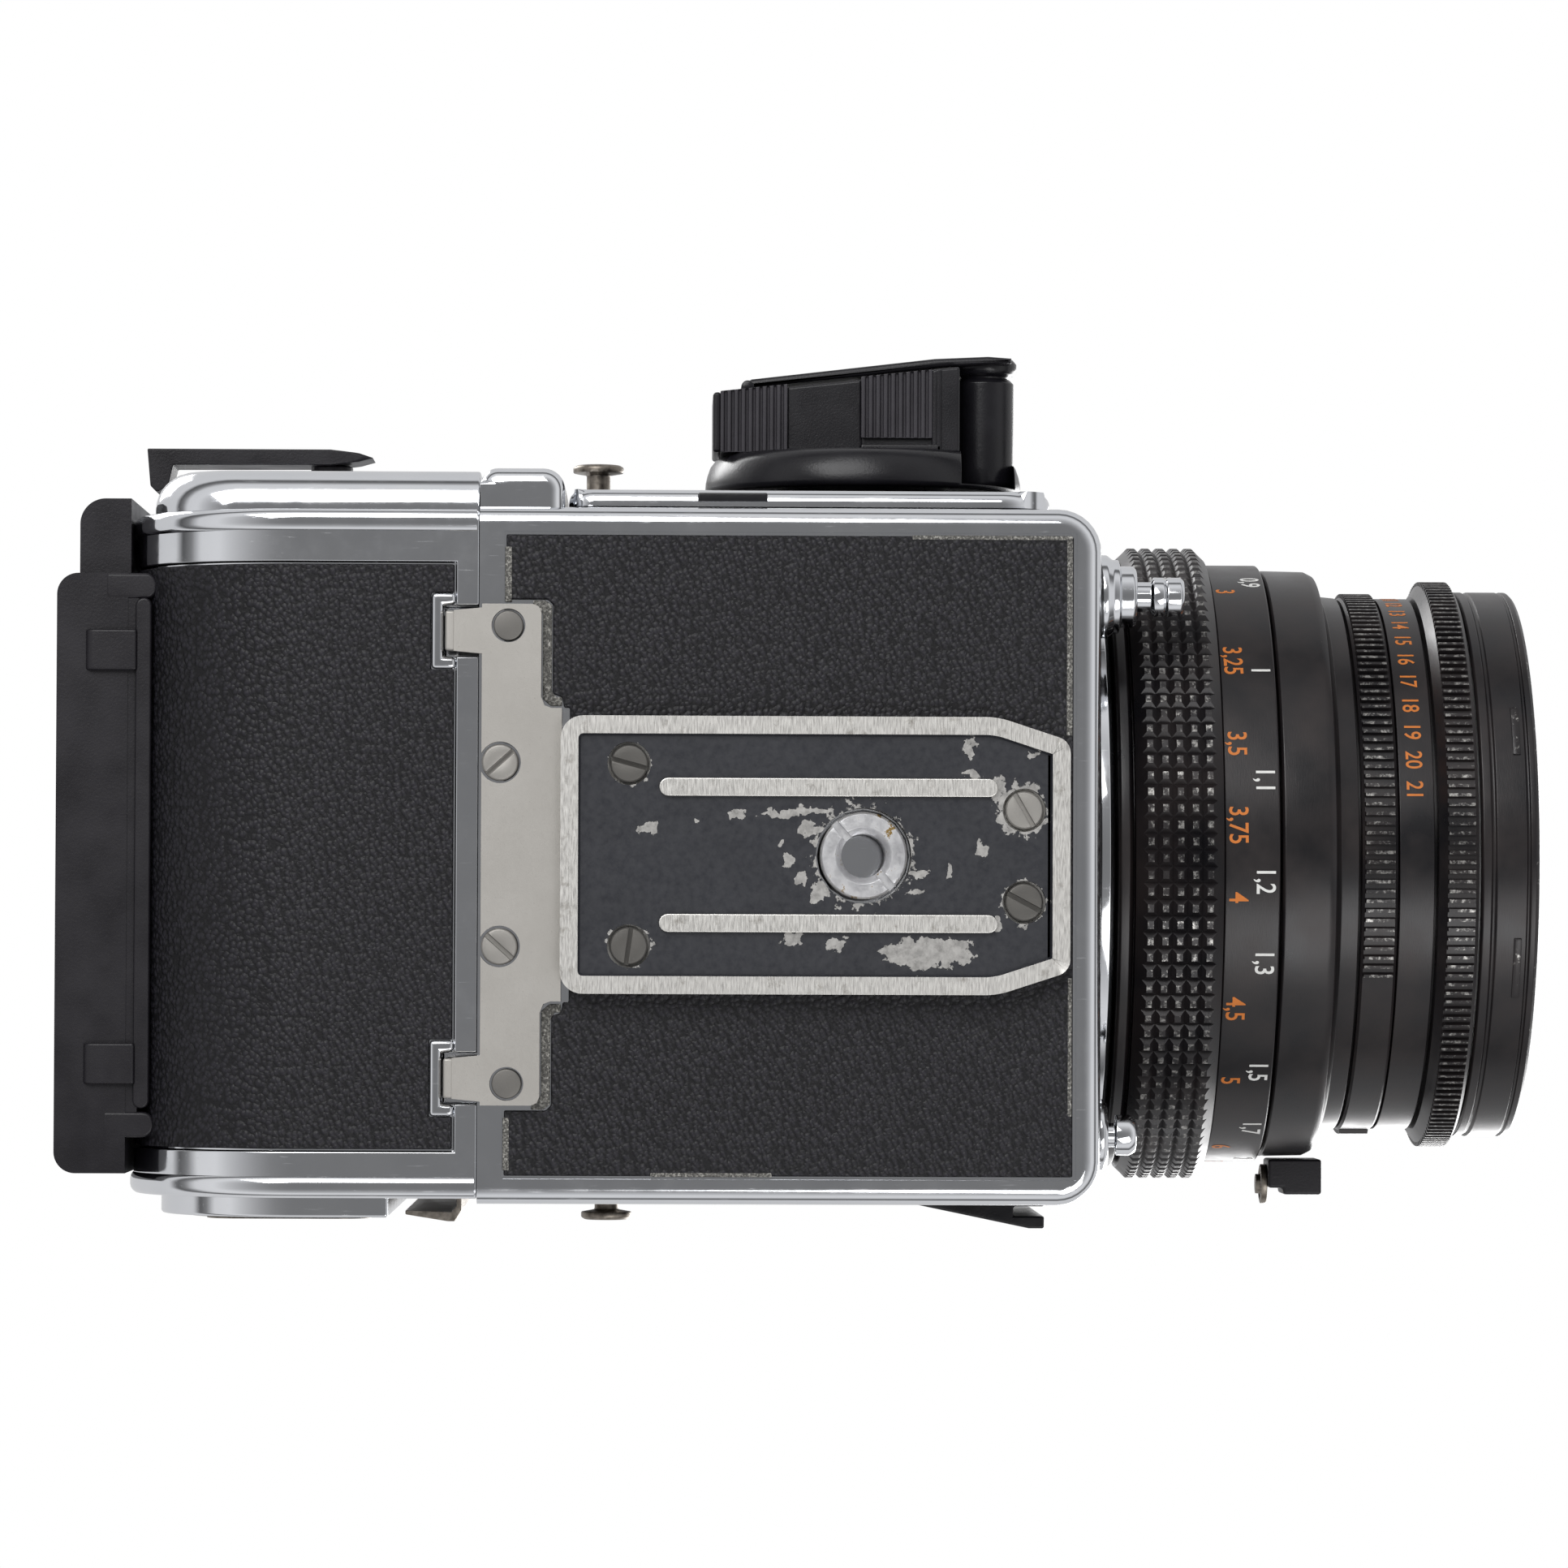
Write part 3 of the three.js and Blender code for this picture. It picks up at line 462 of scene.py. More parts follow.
# The strap lugs: turned and polished steel studs with a waist, one screwed into the casting
# on each side.
def turned(name, profile, steps, along="front", centre=(0, 0, LENS_Z)):
    """A closed outline of (radius, place along the axis) points, spun right round."""
    x, front, z = centre
    bpy.ops.object.select_all(action="DESELECT")
    bpy.ops.mesh.primitive_circle_add(vertices=len(profile), radius=MM)
    piece = bpy.context.object
    piece.name = name
    bpy.ops.object.transform_apply(location=True, rotation=True, scale=True)
    for vertex, (radius, place) in zip(piece.data.vertices, profile):
        if along == "front":
            vertex.co = spot(x, place, z + radius)
        elif along == "up":
            vertex.co = spot(x + radius, front, place)
        else:
            vertex.co = spot(place, front, z + radius)
    axis = {"front": (0, 1, 0), "up": (0, 0, 1), "across": (1, 0, 0)}[along]
    bpy.ops.object.mode_set(mode="EDIT")
    bpy.ops.mesh.select_all(action="SELECT")
    bpy.ops.mesh.spin(steps=steps, angle=math.tau, center=spot(x, front, z), axis=axis)
    bpy.ops.object.mode_set(mode="OBJECT")
    return seamed(piece)


def worn_steel():
    material, tree, shader, place = new_finish("turned_steel")
    shader.inputs["Metallic"].default_value = 1
    stain = noise(tree, place, 1.2, 5, 0.65)
    tree.links.new(
        blended(tree, graded(tree, stain, 0.35, 0.7), (0.15, 0.13, 0.11), (0.34, 0.31, 0.27)),
        shader.inputs["Base Color"],
    )
    tree.links.new(graded(tree, stain, 0.3, 0.7, 0.28, 0.5), shader.inputs["Roughness"])
    raised(tree, shader, noise(tree, stretched(tree, place, (1, 0.2, 1)), 0.3), 0.02, 0.6)
    return material


STEEL = worn_steel()
LUG_Z = 76
for side, sign, front, node in (("right", -1, 12.9, "strap_lug_right"), ("left", 1, 14.3, "strap_lug_left")):
    low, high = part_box(node)
    base, tip = ((high.x, low.x) if sign < 0 else (low.x, high.x))
    base, tip = (base - AXIS.x) / MM, (tip - AXIS.x) / MM
    lug = turned(
        f"strap_stud_{side}",
        [(0, base), (2.6, base), (2.6, base + sign * 0.8), (1.5, base + sign * 1.2),
         (1.5, tip - sign * 1.3), (3.2, tip - sign * 1.0), (3.2, tip - sign * 0.3), (2.7, tip), (0, tip)],
        32, "across", (0, front, LUG_Z),
    )
    fitted(rounded(lug, 0.15, 2), "camera_body", "steel", [STEEL], node)

# ---------------------------------------------------------------------------
# Left side. A dovetail accessory rail in black enamelled brass, screwed to the body.
rail = rounded(copied("accessory_rail", "accessory_shoe"), 0.25, 2)
fitted(rail, "camera_body", "black_paint", [BLACK_PAINT], "accessory_rail")

# ---------------------------------------------------------------------------
# Tripod coupling. A pressed alloy plate with a raised bare rim and two raised rails,
# its floor enamelled black and chipped by use, held by four slotted screws.
PLATE = dict(back=9.5, front=68.2, half=16, nose=13.25, shoulder=59.8, thick=2.9, rim=2.05, floor=0.62)


def round_bar(a, b, radius):
    """The outline of a bar with round ends, its ends centred on two points along the second axis."""
    (x0, y0), (x1, y1) = a, b
    return arc(x1, y1, radius, 0, 180) + arc(x0, y0, radius, 180, 360)


def chipped_enamel():
    """Black enamel over bright alloy, chipped away round the screws, the bush and where plates rub."""
    material, tree, shader, place = new_finish("chipped_enamel")
    warp = tree.nodes.new("ShaderNodeTexNoise")
    warp.inputs["Scale"].default_value = 750
    warp.inputs["Detail"].default_value = 5
    tree.links.new(place, warp.inputs["Vector"])
    bend = tree.nodes.new("ShaderNodeVectorMath")
    bend.operation = "MULTIPLY_ADD"
    bend.inputs[1].default_value = (0.0028, 0.0028, 0)
    tree.links.new(warp.outputs["Color"], bend.inputs[0])
    tree.links.new(place, bend.inputs[2])
    wear = None
    for x, front, reach_x, reach_y in (
        (0, 44.4, 6.5, 6.4), (-10.5, 17.4, 2.6, 2.7), (10.5, 17.4, 2.6, 2.7), (-5.3, 62.7, 3.4, 3.4), (
            5.3, 62.9, 2.8, 2.8,
        ),
        (11.1, 51.7, 2.2, 6.2), (10.3, 41.4, 1.1, 1.1), (9.5, 36.2, 0.9, 1.3), (-2.9, 19.3, 0.8, 1.6),
        (-12.4, 56.5, 1.3, 0.8), (-9.3, 56.6, 0.5, 1.2), (-7.7, 59.6, 1.4, 0.9), (-11.8, 63.7, 0.5, 0.9),
        (-4.9, 36.6, 0.45, 5.2), (-4.7, 29.5, 0.5, 1.2), (-4.1, 25.1, 0.4, 0.5), (-3.0, 38.3, 0.8, 1.6),
        (-1.6, 34.9, 0.8, 0.4), (0.6, 36.0, 0.9, 0.5), (2.6, 37.4, 1.2, 0.8), (4.2, 39.3, 1.4, 1.2),
        (2.1, 50.9, 0.7, 1.3), (4.4, 50.3, 0.5, 1.5), (2.1, 54.1, 1.2, 0.4), (-0.9, 58.0, 1.3, 0.5), (
            7.8, 59.8, 1.2, 0.8,
        ),
    ):
        centre = spot(x, front, 0.6)
        offset = tree.nodes.new("ShaderNodeVectorMath")
        offset.operation = "SUBTRACT"
        offset.inputs[1].default_value = centre + Vector((0.0014, 0.0014, 0))
        tree.links.new(bend.outputs["Vector"], offset.inputs[0])
        scaled = tree.nodes.new("ShaderNodeVectorMath")
        scaled.operation = "MULTIPLY"
        scaled.inputs[1].default_value = (1 / (reach_x * MM), 1 / (reach_y * MM), 0)
        tree.links.new(offset.outputs["Vector"], scaled.inputs[0])
        reach = tree.nodes.new("ShaderNodeVectorMath")
        reach.operation = "LENGTH"
        tree.links.new(scaled.outputs["Vector"], reach.inputs[0])
        near = graded(tree, reach.outputs["Value"], 0.6, 1.25, 0.5, 0.0)
        wear = near if wear is None else arithmetic(tree, "MAXIMUM", wear, near)
    ragged = noise(tree, place, 1.0, 6, 0.65)
    chips = graded(tree, arithmetic(tree, "ADD", ragged, wear), 0.80, 0.815)
    hair = noise(tree, stretched(tree, place, (1, 0.12, 1)), 0.5, 3, 0.6)
    scratch = graded(tree, hair, 0.77, 0.79, 0, 0.5)
    bare = arithmetic(tree, "MAXIMUM", chips, scratch)
    enamel = blended(tree, noise(tree, place, 6, 4), (0.013, 0.014, 0.018), (0.024, 0.025, 0.031))
    metal = blended(tree, noise(tree, place, 0.7, 4), (0.40, 0.39, 0.375), (0.56, 0.55, 0.53))
    tree.links.new(blended(tree, bare, enamel, metal), shader.inputs["Base Color"])
    tree.links.new(bare, shader.inputs["Metallic"])
    tree.links.new(
        graded(tree, noise(tree, place, 0.9, 5, 0.7), 0.3, 0.7, 0.3, 0.5),
        shader.inputs["Roughness"],
    )
    raised(tree, shader, arithmetic(tree, "SUBTRACT", 1.0, chips), 0.05, 0.9)
    return material


def brushed_alloy():
    """Bare alloy rubbed to a fine satin, with nicks and dark grime in places."""
    material, tree, shader, place = new_finish("brushed_alloy")
    shader.inputs["Metallic"].default_value = 1
    brush = noise(tree, stretched(tree, place, (0.12, 1, 1)), 0.16, 3)
    grime = graded(tree, noise(tree, place, 2.2, 6, 0.7), 0.56, 0.74)
    bright = blended(tree, brush, (0.50, 0.485, 0.46), (0.76, 0.75, 0.72))
    tree.links.new(blended(tree, grime, bright, (0.30, 0.28, 0.25)), shader.inputs["Base Color"])
    tree.links.new(graded(tree, brush, 0.3, 0.7, 0.33, 0.5), shader.inputs["Roughness"])
    raised(tree, shader, brush, 0.02, 0.8)
    return material


ENAMEL = chipped_enamel()
ALLOY = brushed_alloy()
corner = 2.6
coupling_outline = [
    (-PLATE["nose"], PLATE["front"]), (PLATE["nose"], PLATE["front"]),
    (PLATE["half"], PLATE["shoulder"]),
]
coupling_outline += arc(PLATE["half"] - corner, PLATE["back"] + corner, corner, 0, -90)
coupling_outline += arc(-PLATE["half"] + corner, PLATE["back"] + corner, corner, -90, -180)
coupling_outline += [(-PLATE["half"], PLATE["shoulder"])]
coupling = outlined("coupling_plate", coupling_outline, 0, PLATE["thick"])


def corner_edge(middle, along):
    return abs(along.z) > 0.99 and middle.y < JOINT_Y - 58 * MM


pick(coupling, "EDGE", corner_edge)
bpy.ops.mesh.bevel(offset=1.3 * MM, segments=5, affect="EDGES")
close_edit()
pick(coupling, "FACE", lambda centre, normal: normal.z < -0.99)
bpy.ops.mesh.inset(thickness=PLATE["rim"] * MM, depth=0)
bpy.ops.mesh.inset(thickness=0.25 * MM, depth=-PLATE["floor"] * MM)
close_edit()
for x, front in ((-10.5, 17.4), (10.5, 17.4), (-5.3, 62.9), (5.3, 62.9)):
    sink = turned("sink", [(0, 0), (2.5, 0), (2.5, 1.9), (0, 1.9)], 40, "up", (x, front, 0))
    cut_out(coupling, sink)
cut_out(coupling, turned("bush_hole", [(0, -1), (5.5, -1), (5.5, 4), (0, 4)], 64, "up", (0, 44.4, 0)))
coupling.data.materials.append(ALLOY)
coupling.data.materials.append(ENAMEL)
for face in coupling.data.polygons:
    inside = face.center.z > 0.3 * MM and face.center.z < 1.5 * MM and abs(face.center.x - AXIS.x) < 13.9 * MM
    if inside and 11.2 * MM < JOINT_Y - face.center.y < 66.5 * MM:
        face.material_index = 1
rounded(coupling, 0.22, 2, 35)
fitted(coupling, "camera_body", "bare_metal", [ALLOY, ENAMEL], "tripod_plate")

for name, x in (("right", -7.83), ("left", 7.83)):
    bar = outlined(f"coupling_rail_{name}", round_bar((x, 21.9), (x, 58.8), 1.05), 0.02, 0.7)
    fitted(rounded(bar, 0.14, 2), "camera_body", "bare_metal", [ALLOY])


def dull_nickel(name="dull_nickel", shade=1.0):
    material, tree, shader, place = new_finish(name)
    shader.inputs["Metallic"].default_value = 0.85
    pit = noise(tree, place, 0.22, 5, 0.75)
    broad = noise(tree, place, 7, 3)
    dark, light = (tuple(shade * c for c in tone) for tone in ((0.36, 0.345, 0.32), (0.44, 0.425, 0.40)))
    base = blended(tree, broad, dark, light)
    tree.links.new(
        blended(tree, graded(tree, pit, 0.64, 0.70), base, (0.22, 0.20, 0.18)),
        shader.inputs["Base Color"],
    )
    tree.links.new(graded(tree, pit, 0.3, 0.7, 0.42, 0.55), shader.inputs["Roughness"])
    raised(tree, shader, pit, 0.02, 0.7)
    return material


def slotted_screw(name, x, front, radius, face, depth, angle):
    """A cheese head screw seen from below, its slot cut right across and turned by an angle."""
    head = turned(
        name,
        [(0, face), (radius - 0.2, face), (radius, face + 0.2), (radius, face + depth), (0, face + depth)],
        48, "up", (x, front, 0),
    )
    groove = slab(
        "groove", (x - radius - 1, x + radius + 1), (front - 0.27, front + 0.27),
        (face - 1, face + 0.75),
    )
    only(groove)
    bpy.ops.object.mode_set(mode="EDIT")
    bpy.ops.mesh.select_all(action="SELECT")
    bpy.ops.transform.rotate(value=math.radians(angle), orient_axis="Z", center_override=spot(x, front, 0))
    close_edit()
    cut_out(head, groove)
    return rounded(head, 0.07, 2, 40)


plate_screws = ((-10.5, 17.4, 75), (10.5, 17.4, -8), (-5.3, 62.9, 30), (5.3, 62.9, 62))
for index, (x, front, angle) in enumerate(plate_screws):
    screw = slotted_screw(f"coupling_screw_{index + 1}", x, front, 2.2, 0.46, 1.41, angle)
    finish = dull_nickel(f"coupling_screw_steel_{index + 1}", 0.75 if index == 2 else 0.3)
    fitted(screw, "camera_body", "steel", [finish], f"plate_screw_{index + 1}")

# The tripod bush: turned in nickel plated brass with a 1/4 inch thread, screwed into the
# casting through the plate and tightened by two slots in its face.


def plated_brass():
    material, tree, shader, place = new_finish("nickel_on_brass")
    shader.inputs["Metallic"].default_value = 1
    rub = noise(tree, place, 1.6, 5, 0.7)
    plate = blended(tree, graded(tree, rub, 0.3, 0.6), (0.62, 0.62, 0.64), (0.74, 0.74, 0.75))
    tree.links.new(
        blended(tree, graded(tree, rub, 0.60, 0.64), plate, (0.30, 0.20, 0.07)),
        shader.inputs["Base Color"],
    )
    tree.links.new(graded(tree, rub, 0.3, 0.7, 0.3, 0.42), shader.inputs["Roughness"])
    raised(tree, shader, noise(tree, place, 0.4), 0.02)
    return material


BRASS = plated_brass()
bore, crest, pitch = 2.55, 3.05, 1.27
thread = [(5.05, 11.4), (5.05, 0.75), (4.75, 0.42), (3.3, 0.42), (3.05, 0.65)]
for turn in range(8):
    start = 0.65 + turn * pitch
    thread += [(bore, start + pitch * 0.45), (bore, start + pitch * 0.55), (crest, start + pitch)]
thread.append((crest, 11.4))
bush = turned("threaded_bush", thread, 64, "up", (0, 44.4, 0))
NOTCH_ANGLE = 42
for side in (-1, 1):
    notch = slab("notch", (side * 4.6 - 2, side * 4.6 + 2), (44.4 - 0.45, 44.4 + 0.45), (-1, 1.35))
    only(notch)
    bpy.ops.object.mode_set(mode="EDIT")
    bpy.ops.mesh.select_all(action="SELECT")
    bpy.ops.transform.rotate(
        value=math.radians(NOTCH_ANGLE), orient_axis="Z", center_override=spot(0, 44.4, 0),
    )
    close_edit()
    cut_out(bush, notch)
rounded(bush, 0.08, 2, 40)
fitted(bush, "camera_body", "steel", [BRASS], "tripod_bush")

# Support plate. Dull nickelled steel, a tee with two hooks that the magazine hangs on,
# held by two pins riveted over and two slotted screws.


NICKEL = dull_nickel()
RIVET = dull_nickel("rivet_steel", 0.42)
HEADS = dull_nickel("screw_steel", 0.75)
tee = [
    (-28.9, 0.35), (-28.9, 6.2), (-28.6, 6.9), (-27.9, 7.2), (-18.2, 7.2), (-17.2, 7.6),
    (-16.9, 8.4), (-16.9, 9.6),
]
tee += [(-x, front) for x, front in reversed(tee)]
hook_x, hook_half = 25.8, 2.65
for side in (1, -1):
    right_edge, left_edge = side * hook_x + hook_half, side * hook_x - hook_half
    tee += [(right_edge, 0.35), (right_edge - 0.3, -2.9), (left_edge + 0.3, -2.9), (left_edge, 0.35)]
support = outlined("support_tee", tee, 1.9, 2.72)
for x in (-26.4, 26.4):
    cut_out(support, turned("pin_hole", [(0, 0), (1.95, 0), (1.95, 4), (0, 4)], 40, "up", (x, 3.4, 0)))
for x in (-10.6, 10.6):
    cut_out(support, turned("screw_hole", [(0, 0), (2.4, 0), (2.4, 4), (0, 4)], 40, "up", (x, 2.5, 0)))
rounded(support, 0.16, 2, 35)
fitted(support, "camera_body", "bare_metal", [NICKEL], "support_plate")
for name, side in (("right", -1), ("left", 1)):
    claw = slab(f"support_claw_{name}", (side * hook_x - 2.3, side * hook_x + 2.3), (-3.9, -2.7), (1.95, 5.3))
    fitted(rounded(claw, 0.3, 3), "camera_body", "bare_metal", [NICKEL])
    pin = turned(
        f"rivet_{name}", [(0, 1.86), (1.6, 1.86), (1.72, 1.98), (1.72, 2.7), (0, 2.7)], 40, "up",
        (side * 26.4, 3.4, 0),
    )
    fitted(rounded(pin, 0.06, 2, 40), "camera_body", "steel", [RIVET], f"support_pin_{name}")
    screw = slotted_screw(f"support_slotted_{name}", side * 10.6, 2.5, 2.12, 1.74, 0.96, side * 48)
    fitted(screw, "camera_body", "steel", [HEADS], f"support_screw_{name}")

# ---------------------------------------------------------------------------
# Front buttons. The shutter release slides in a stepped chromed collar; the lens release
# is a plain domed pin below and beside the lens.
release_x, release_z = -30.7, 14.5
collar = turned(
    "release_collar_turned",
    [
        (2.62, 72.35), (4.9, 72.35), (4.9, 73.2), (4.35, 73.9), (4.35, 74.6), (3.6, 74.8),
        (3.6, 76.3), (3.2, 76.7), (2.62, 76.7),
    ],
    48, "front", (release_x, 0, release_z),
)
fitted(rounded(collar, 0.12, 2), "camera_body", "chromed_body", [CHROME], "release_collar")
button = turned(
    "release_pin",
    [
        (0, 65), (1.75, 65), (1.75, 78.4), (2.3, 78.7), (2.3, 79.9), (2.05, 80.1), (2.3, 80.35),
        (2.3, 81.9), (1.9, 82.3), (1.1, 82.35), (0.9, 81.6), (0, 81.4),
    ],
    40, "front", (release_x, 0, release_z),
)
fitted(rounded(button, 0.1, 2), "release_button", "chromed_body", [CHROME], "shutter_release")
lock = turned(
    "lens_lock_pin",
    [(0, 64.5), (1.4, 64.5), (1.4, 74.3), (2.35, 74.4), (2.4, 75.9), (2.0, 76.7), (1.0, 77.0), (0, 77.0)],
    40, "front", (32.4, 0, 14.5),
)
fitted(rounded(lock, 0.12, 2), "lens_release_button", "chromed_body", [CHROME], "lens_release")
seat = turned(
    "lens_lock_seat",
    [(2.6, 72.2), (4.2, 72.2), (4.2, 72.9), (3.6, 73.4), (2.6, 73.4)],
    40, "front", (32.4, 0, 14.5),
)
fitted(rounded(seat, 0.1, 2), "camera_body", "chromed_body", [CHROME])

# ---------------------------------------------------------------------------
# Winding knob. A black enamelled alloy disc with a rolled lip, carrying a grip block
# whose ends are ribbed across and whose middle is left smooth.
KNOB = dict(front=45.45, z=44.0)
knob_centre = (0, KNOB["front"], KNOB["z"])
disc = turned(
    "knob_disc",
    [(0, -43.0), (10.5, -43.0), (10.5, -44.3), (18.6, -44.4), (19.1, -44.7), (19.2, -45.2), (19.15, -45.9), (
        18.95, -46.8,
    ),
     (18.6, -47.8), (18.0, -48.6), (17.2, -49.1), (14.4, -49.3), (0, -49.4)],
    128, "across", knob_centre,
)
cut_out(disc, slab("handle_bay", (-51, -45.0), (56.8, 63.7), (20, 48)))
fitted(rounded(disc, 0.12, 2, 50), "winding_knob", "black_paint", [BLACK_PAINT], "wind_knob")

GRIP = dict(back=27.1, front=56.2, half=8.0, low=-49.2, back_high=-56.5, front_high=-59.6)


def grip_top(front):
    share = (front - GRIP["back"]) / (GRIP["front"] - GRIP["back"])
    return GRIP["back_high"] + share * (GRIP["front_high"] - GRIP["back_high"])


def ribbed_block(name, start, end, half, ribs, low):
    """A block whose two side walls carry upright ribs, made by pushing every other strip in."""
    block = slab(name, (low, -56.0), (start, end), (KNOB["z"] - half, KNOB["z"] + half))
    strips = 2 * ribs - 1
    pick(block, "EDGE", lambda middle, along: abs(along.y) > 0.99)
    bpy.ops.mesh.subdivide(number_cuts=strips - 1)
    close_edit()
    for vertex in block.data.vertices:
        if vertex.co.x < AXIS.x - 55 * MM:
            front = (JOINT_Y - vertex.co.y) / MM
            vertex.co.x = AXIS.x + grip_top(front) * MM
    width = (end - start) / strips

    def sunk(centre, normal):
        strip = int(((JOINT_Y - centre.y) / MM - start) / width)
        return abs(normal.z) > 0.99 and strip % 2 == 1

    pick(block, "FACE", sunk)
    bpy.ops.mesh.inset(use_individual=True, thickness=0.08 * MM, depth=-0.4 * MM)
    close_edit()
    return rounded(block, 0.1, 2, 40)


GRIP_PLASTIC = blackened("grip_enamel", (0.0060, 0.0056, 0.0075), 0.34, 0.2, 0.03)
RIBBED = blackened("ribbed_grip", (0.028, 0.026, 0.031), 0.5, 0.2, 0.03)
for name, start, end, ribs, low in (("back", 28.0, 36.1, 10, GRIP["low"]), ("front", 45.0, 53.6, 10, -51.0)):
    block = ribbed_block(f"grip_ribbed_{name}", start, end, 8.0, ribs, low)
    fitted(block, "winding_knob", "black_paint", [RIBBED])


def wedge(name, start, end, half, low, lift=0.0, body="winding_knob", material=GRIP_PLASTIC, width=0.35):
    """A block under the sloping top of the grip, from its base up to the slope less a lift."""
    side_view = [(start, low), (end, low), (end, grip_top(end) + lift), (start, grip_top(start) + lift)]
    piece = outlined(name, [(b, a) for a, b in side_view], KNOB["z"] - half, KNOB["z"] + half)
    return fitted(rounded(piece, width, 3), body, "black_paint", [material])


wedge("grip_heel", 27.1, 28.05, 7.9, GRIP["low"], 0.1)
wedge("grip_middle", 36.0, 45.1, 7.3, GRIP["low"], 0.3)
wedge("grip_core", 45.0, 54.0, 7.3, GRIP["low"], 0.3)
foot = slab("grip_foot", (GRIP["low"], -50.2), (45.0, 54.7), (KNOB["z"] - 8.2, KNOB["z"] + 8.2))
fitted(rounded(foot, 0.2, 2), "winding_knob", "black_paint", [GRIP_PLASTIC])
wedge("grip_frame", 54.1, 54.7, 8.2, GRIP["low"], 0.1, width=0.15)
wedge("grip_nose", 53.5, 56.9, 8.0, GRIP["low"], 0.0)

# The crank: a flat enamelled arm lying on the grip's sloping top, hinged at its back end,
# with a turning handle at its front end that stands in beside the block.
arm_view = [
    (30.4, -57.0), (30.6, -57.6), (31.8, -58.3), (54.0, -60.9), (60.5, -61.2), (63.3, -61.0),
    (63.3, -60.4), (56.2, -60.0), (31.0, -57.2),
]
arm = outlined("crank_arm", [(b, a) for a, b in arm_view], KNOB["z"] - 5.0, KNOB["z"] + 5.0)


pick(arm, "EDGE", lambda middle, along: abs(along.z) < 0.2 and abs(middle.z - KNOB["z"] * MM) > 4.9 * MM)
bpy.ops.mesh.bevel(offset=0.45 * MM, segments=3, affect="EDGES")
close_edit()
fitted(rounded(arm, 0.12, 2, 40), "winding_crank", "black_paint", [GRIP_PLASTIC], "wind_crank")
handle_centre = (0, 60.2, KNOB["z"])
handle = turned(
    "crank_handle",
    [
        (0, -44.3), (2.2, -44.3), (2.4, -45.2), (3.2, -45.6), (3.5, -46.2), (3.55, -48), (3.6, -54),
        (3.6, -58.2), (3.0, -58.8), (0, -58.8),
    ],
    64, "across", handle_centre,
)
fitted(rounded(handle, 0.1, 2, 40), "winding_crank", "black_paint", [BLACK_PAINT])
cap = turned(
    "crank_cap",
    [
        (0, -58.6), (2.9, -58.6), (3.0, -59.0), (3.7, -59.3), (3.95, -59.8), (3.95, -60.6),
        (3.5, -61.15), (0, -61.3),
    ],
    64, "across", handle_centre,
)
fitted(rounded(cap, 0.08, 2, 40), "winding_crank", "black_paint", [BLACK_PAINT])
hinge = turned("crank_hinge", [(0, 37.2), (0.8, 37.2), (0.8, 50.8), (0, 50.8)], 32, "up", (-57.2, 31.3, 0))
fitted(rounded(hinge, 0.15, 2, 40), "winding_crank", "black_paint", [BLACK_PAINT])

# ---------------------------------------------------------------------------
# Lens. Turned alloy rings on one axis, black anodised, their grips knurled or ribbed
# and worn to bright metal along the crests.


def anodised(name, bare_from, bare_to, brown=0.5):
    """Black anodising with a warm cast; bare metal shows where its noise passes the limits."""
    material, tree, shader, place = new_finish(name)
    broad = noise(tree, place, 7, 4)
    turned_marks = noise(tree, stretched(tree, place, (0.15, 1, 0.15)), 0.12, 2)
    rub = noise(tree, place, 0.8, 6, 0.75)
    bare = graded(tree, rub, bare_from, bare_to)
    cool, warm = (0.0075, 0.0070, 0.0085), (0.0200, 0.0135 + 0.004 * (1 - brown), 0.0155)
    dark = blended(tree, graded(tree, broad, 0.3, 0.7), cool, warm)
    tree.links.new(blended(tree, bare, dark, (0.42, 0.41, 0.39)), shader.inputs["Base Color"])
    tree.links.new(graded(tree, bare, 0, 1, 0.25, 0.95), shader.inputs["Metallic"])
    tree.links.new(graded(tree, broad, 0.3, 0.7, 0.27, 0.38), shader.inputs["Roughness"])
    shader.inputs["Specular IOR Level"].default_value = 0.5
    raised(tree, shader, turned_marks, 0.012, 0.6)
    return material


ANODISED = anodised("black_anodising", 0.74, 0.77)
CREST = anodised("rubbed_crests", 0.50, 0.66)
RUBBED = anodised("rubbed_rim", 0.60, 0.68)

mount = turned(
    "mount_flange",
    [(30.6, 72.3), (35.6, 72.3), (36.0, 72.6), (36.0, 73.7), (35.3, 74.3), (30.6, 74.3)], 128,
)
fitted(rounded(mount, 0.12, 2, 40), "camera_body", "chromed_body", [CHROME], "lens_mount_ring")
base = turned(
    "lens_base_tube",
    [(26, 68.6), (29.6, 68.6), (29.6, 74.6), (36.7, 74.6), (37.0, 74.9), (37.0, 75.9), (36.3, 76.4), (
        34.6, 76.4,
    ),
     (34.6, 93.3), (33, 93.3), (33, 78.6), (26, 78.6)],
    128,
)
fitted(rounded(base, 0.12, 2, 40), "lens_base", "black_anodised", [ANODISED], "lens_base_barrel")

# Focusing ring: five rows of raised pyramids, cut with crossing grooves.
ROWS, AROUND = 5, 123
grip_start, grip_end = 77.4, 86.1
knurl_outline = [(35.0, 76.6), (37.2, 76.6)]
knurl_outline += [(37.95, grip_start + (grip_end - grip_start) * i / ROWS) for i in range(ROWS + 1)]
knurl_outline += [(37.2, 86.9), (35.0, 86.9)]
knurl = turned("focusing_grip", knurl_outline, AROUND)
for finish in (ANODISED, CREST):
    knurl.data.materials.append(finish)


def from_axis(point):
    """A point's distance from the lens axis, in millimetres."""
    return math.hypot(point.x - AXIS.x, point.z - AXIS.z) / MM


def bearing(point):
    """A point's bearing about the lens axis in degrees: 0 is straight down, growing to the left side."""
    return math.degrees(math.atan2(point.x - AXIS.x, AXIS.z - point.z))


